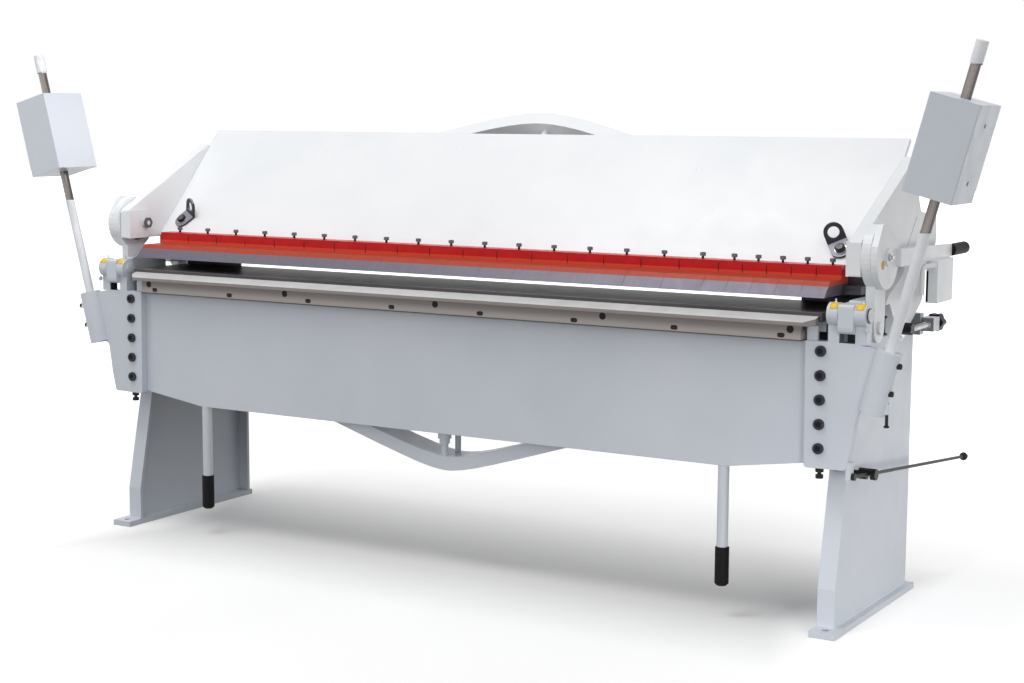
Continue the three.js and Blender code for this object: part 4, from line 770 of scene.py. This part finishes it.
for side, sign in SIDES.items():
    out = (sign, 0, 0)
    lever = f"{side}_lever"
    # Dark end plate that hangs from the holder behind the table; its dark colour is also painted shade behind
    # the fingers' ends
    plate = [[(sign * x, 47, z) for z in (886, 950)] for x in (1056, 1298)]
    skin(f"{side}_end_plate", "clamp_beam", DARK_PLATE_AND_SHADE, plate, 8)
    # Bright washer, black bolt and grey head of the lifting lug
    x = sign * (1209 if sign > 0 else 1234)
    foot = on_panel(x, 7.2, LUG_BOLT_UP_PANEL)
    turned(f"{side}_lug_washer", "clamp_beam", BRIGHT, foot, OFF_PANEL, [(0, 18), (2.2, 18), (2.8, 17.2)])
    layers = [(2.6, 15.4), (8.6, 15.4), (9.4, 14.4), (9.4, 11)]
    turned(f"{side}_lug_bolt", "clamp_beam", OXIDE, foot, OFF_PANEL, layers)
    foot = on_panel(x, 16.4, LUG_BOLT_UP_PANEL)
    hexagon(f"{side}_lug_bolt_head", "clamp_beam", ZINC, foot, OFF_PANEL, 9.5, 4, 4.5)
    # Shaft nut on the inner face of the arm
    inward = (-sign, 0, 0)
    hexagon(f"{side}_shaft_nut", lever, ZINC, (sign * 1291.2, *SHAFT_AXIS), inward, 17.4, 7.4, 8)
    # Boss, nut and stud on the lever plate
    layers = [(0, 25), (3, 25), (4, 24), (4, 12)]
    turned(f"{side}_lever_boss", lever, BEAM_PAINT, (sign * LEVER_FACE, *SHAFT_AXIS), out, layers)
    hexagon(f"{side}_lever_nut", lever, BRIGHT, (sign * (LEVER_FACE + 4), *SHAFT_AXIS), out, 10, 7)
    layers = [(0, 6.3), (5.4, 6.3), (6.4, 5.2)]
    turned(f"{side}_lever_stud", lever, BRIGHT, (sign * (LEVER_FACE + 10.1), *SHAFT_AXIS), out, layers)
    # A plain round patch on the lever plate
    layers = [(0, 13), (0.4, 13), (0.5, 12.8)]
    turned(f"{side}_lever_patch", lever, ORANGE, (sign * LEVER_FACE, -212, 1029), out, layers)
    # Bent rod in front of the balance block, and a near-black strip of painted shade on the block's face
    # beside it
    bend = [(1398, 104, 922), (1398, 104, 992), (1399, 107, 999), (1403, 116, 1003), (1412, 162, 1003)]
    tube(f"{side}_bent_rod", lever, BEAM_PAINT, [(sign * x, y, z) for x, y, z in bend], 8)
    slot = [[(sign * x, 159.7, z) for z in (898, 988)] for x in (1391.5, 1397.5)]
    skin(f"{side}_balance_gap_shade", lever, SHADOW, slot, 0.4)
    # Thin dark joint line on the arm above the lever
    line = []
    for step in range(7):
        y, z = 128 + 79 * step / 6, 1058 + 82 * step / 6
        line.append([(sign * 1342.2, y, z - half) for half in (0, 1.6)])
    skin(f"{side}_arm_joint_line", "clamp_beam", SHADOW, line, 0.3)

# ---------------------------------------------------------------- stage, light and camera


def floor_finish():
    """Pale studio floor that is white to the camera and keeps the soft shadow of the machine.
    Only the camera sees its glow, which is weakest along the machine's front and strong far away, so the glow
    paints the shape and depth of the shadow as seen. Light passed on from the floor is a darker grey than the
    camera sees."""
    material, tree, shader, place = blank("pale_studio_floor", 0.9)
    tone = mixed(tree, ramp(tree, noise(tree, place, 900, 2), 0.3, 0.7), "#eeeeee", "#f3f3f3")
    seen = seen_by_camera(tree)
    feed(tree, shader.inputs["Base Color"], mixed(tree, seen, "#9a9a9a", tone))
    # Painted shadow: the glow's strength by place sets where the floor's shadow looks dark
    away = add(tree, "ShaderNodeVectorMath", {0: scaled(tree, place, (0.6, 1, 1))}, operation="LENGTH")
    strength = ramp(tree, away.outputs["Value"], 1.3, 2.6)
    deep = coordinate(tree, place, "Y")
    behind = ramp(tree, deep, -0.25, 0.45, 0, 0.4)
    before = ramp(tree, deep, -0.45, -0.85, 0, 0.24)
    beside = ramp(tree, aside(tree, place), 1.1, 1.4, 0, 0.42)
    for other in (behind, before, beside):
        strength = result(tree, "MAXIMUM", strength, other)
    glow = add(tree, "ShaderNodeEmission", {"Color": (1, 1, 1, 1), "Strength": times(tree, seen, strength)})
    both = add(tree, "ShaderNodeAddShader", {0: shader.outputs[0], 1: glow.outputs[0]})
    feed(tree, tree.nodes["Material Output"].inputs["Surface"], both.outputs[0])
    return material


# The floor lies half a millimetre low, so that the feet don't share its plane
bpy.ops.mesh.primitive_plane_add(size=60, location=(0, 0, -0.0005))
floor = bpy.context.object
floor.name = "studio_floor"
floor.data.materials.append(floor_finish())

# The sky is white to the camera and gives most of its light from the front right
world = bpy.data.worlds.new("soft_studio")
bpy.context.scene.world = world
world.use_nodes = True
sky = world.node_tree
toward = add(sky, "ShaderNodeTexCoord").outputs["Generated"]
front = dot(sky, toward, (0.5, -0.86, 0))
light_given = ramp(sky, front, -0.3, 1, 0.46, 0.9)
background = sky.nodes["Background"].inputs
feed(sky, background["Strength"], ramp(sky, seen_by_camera(sky), 0, 1, light_given, 1.0))
feed(sky, background["Color"], (1, 1, 1, 1))

# One lamp over the machine, one low at the right front for the right stand, and one for the left weight:
# each has its name, size in metres, power in watts, spread in degrees, place and target in metres
LAMPS = (
    ("soft_key", 3, 122, 180, (-1.3, -2.1, 6.0), (0, 0, 1)),
    ("low_fill", 1.2, 2.7, 30, (3.8, -3.2, 0.4), (1.35, 0, -0.1)),
    ("left_fill", 0.6, 0.85, 26, (0.6, -1.0, 2.3), (-1.75, -0.45, 1.3)),
)
for name, size, power, spread, spot, target in LAMPS:
    lamp = bpy.data.lights.new(name, "AREA")
    lamp.shape = "DISK"
    lamp.size = size
    lamp.energy = power
    lamp.spread = math.radians(spread)
    light = bpy.data.objects.new(name, lamp)
    bpy.context.scene.collection.objects.link(light)
    light.location = spot
    light.rotation_euler = (light.location - Vector(target)).to_track_quat("Z", "Y").to_euler()

# The camera was fitted to the finger widths and the ends of the machine
YAW = math.radians(30.9895)
PITCH = math.radians(7.164)
ROLL = math.radians(0.318)
FOCAL_PIXELS = 1803.5
PHOTO_WIDTH = 1024
CAMERA_SPOT = (3040.9, -4910.0, 1427.9)
forward = Vector((-math.sin(YAW) * math.cos(PITCH), math.cos(YAW) * math.cos(PITCH), -math.sin(PITCH)))
level = Vector((math.cos(YAW), math.sin(YAW), 0))
above = level.cross(forward)
rightward = math.cos(ROLL) * level + math.sin(ROLL) * above
upright = math.cos(ROLL) * above - math.sin(ROLL) * level
lens = bpy.data.cameras.new("photo_camera")
lens.sensor_fit = "HORIZONTAL"
lens.sensor_width = 36
lens.lens = FOCAL_PIXELS / PHOTO_WIDTH * lens.sensor_width
lens.clip_end = 200
camera = bpy.data.objects.new("photo_camera", lens)
bpy.context.scene.collection.objects.link(camera)
turn = Matrix((rightward, upright, -forward)).transposed()
camera.matrix_world = Matrix.Translation(metres(*CAMERA_SPOT)) @ turn.to_4x4()
bpy.context.scene.camera = camera
bpy.context.scene.view_settings.view_transform = "Standard"
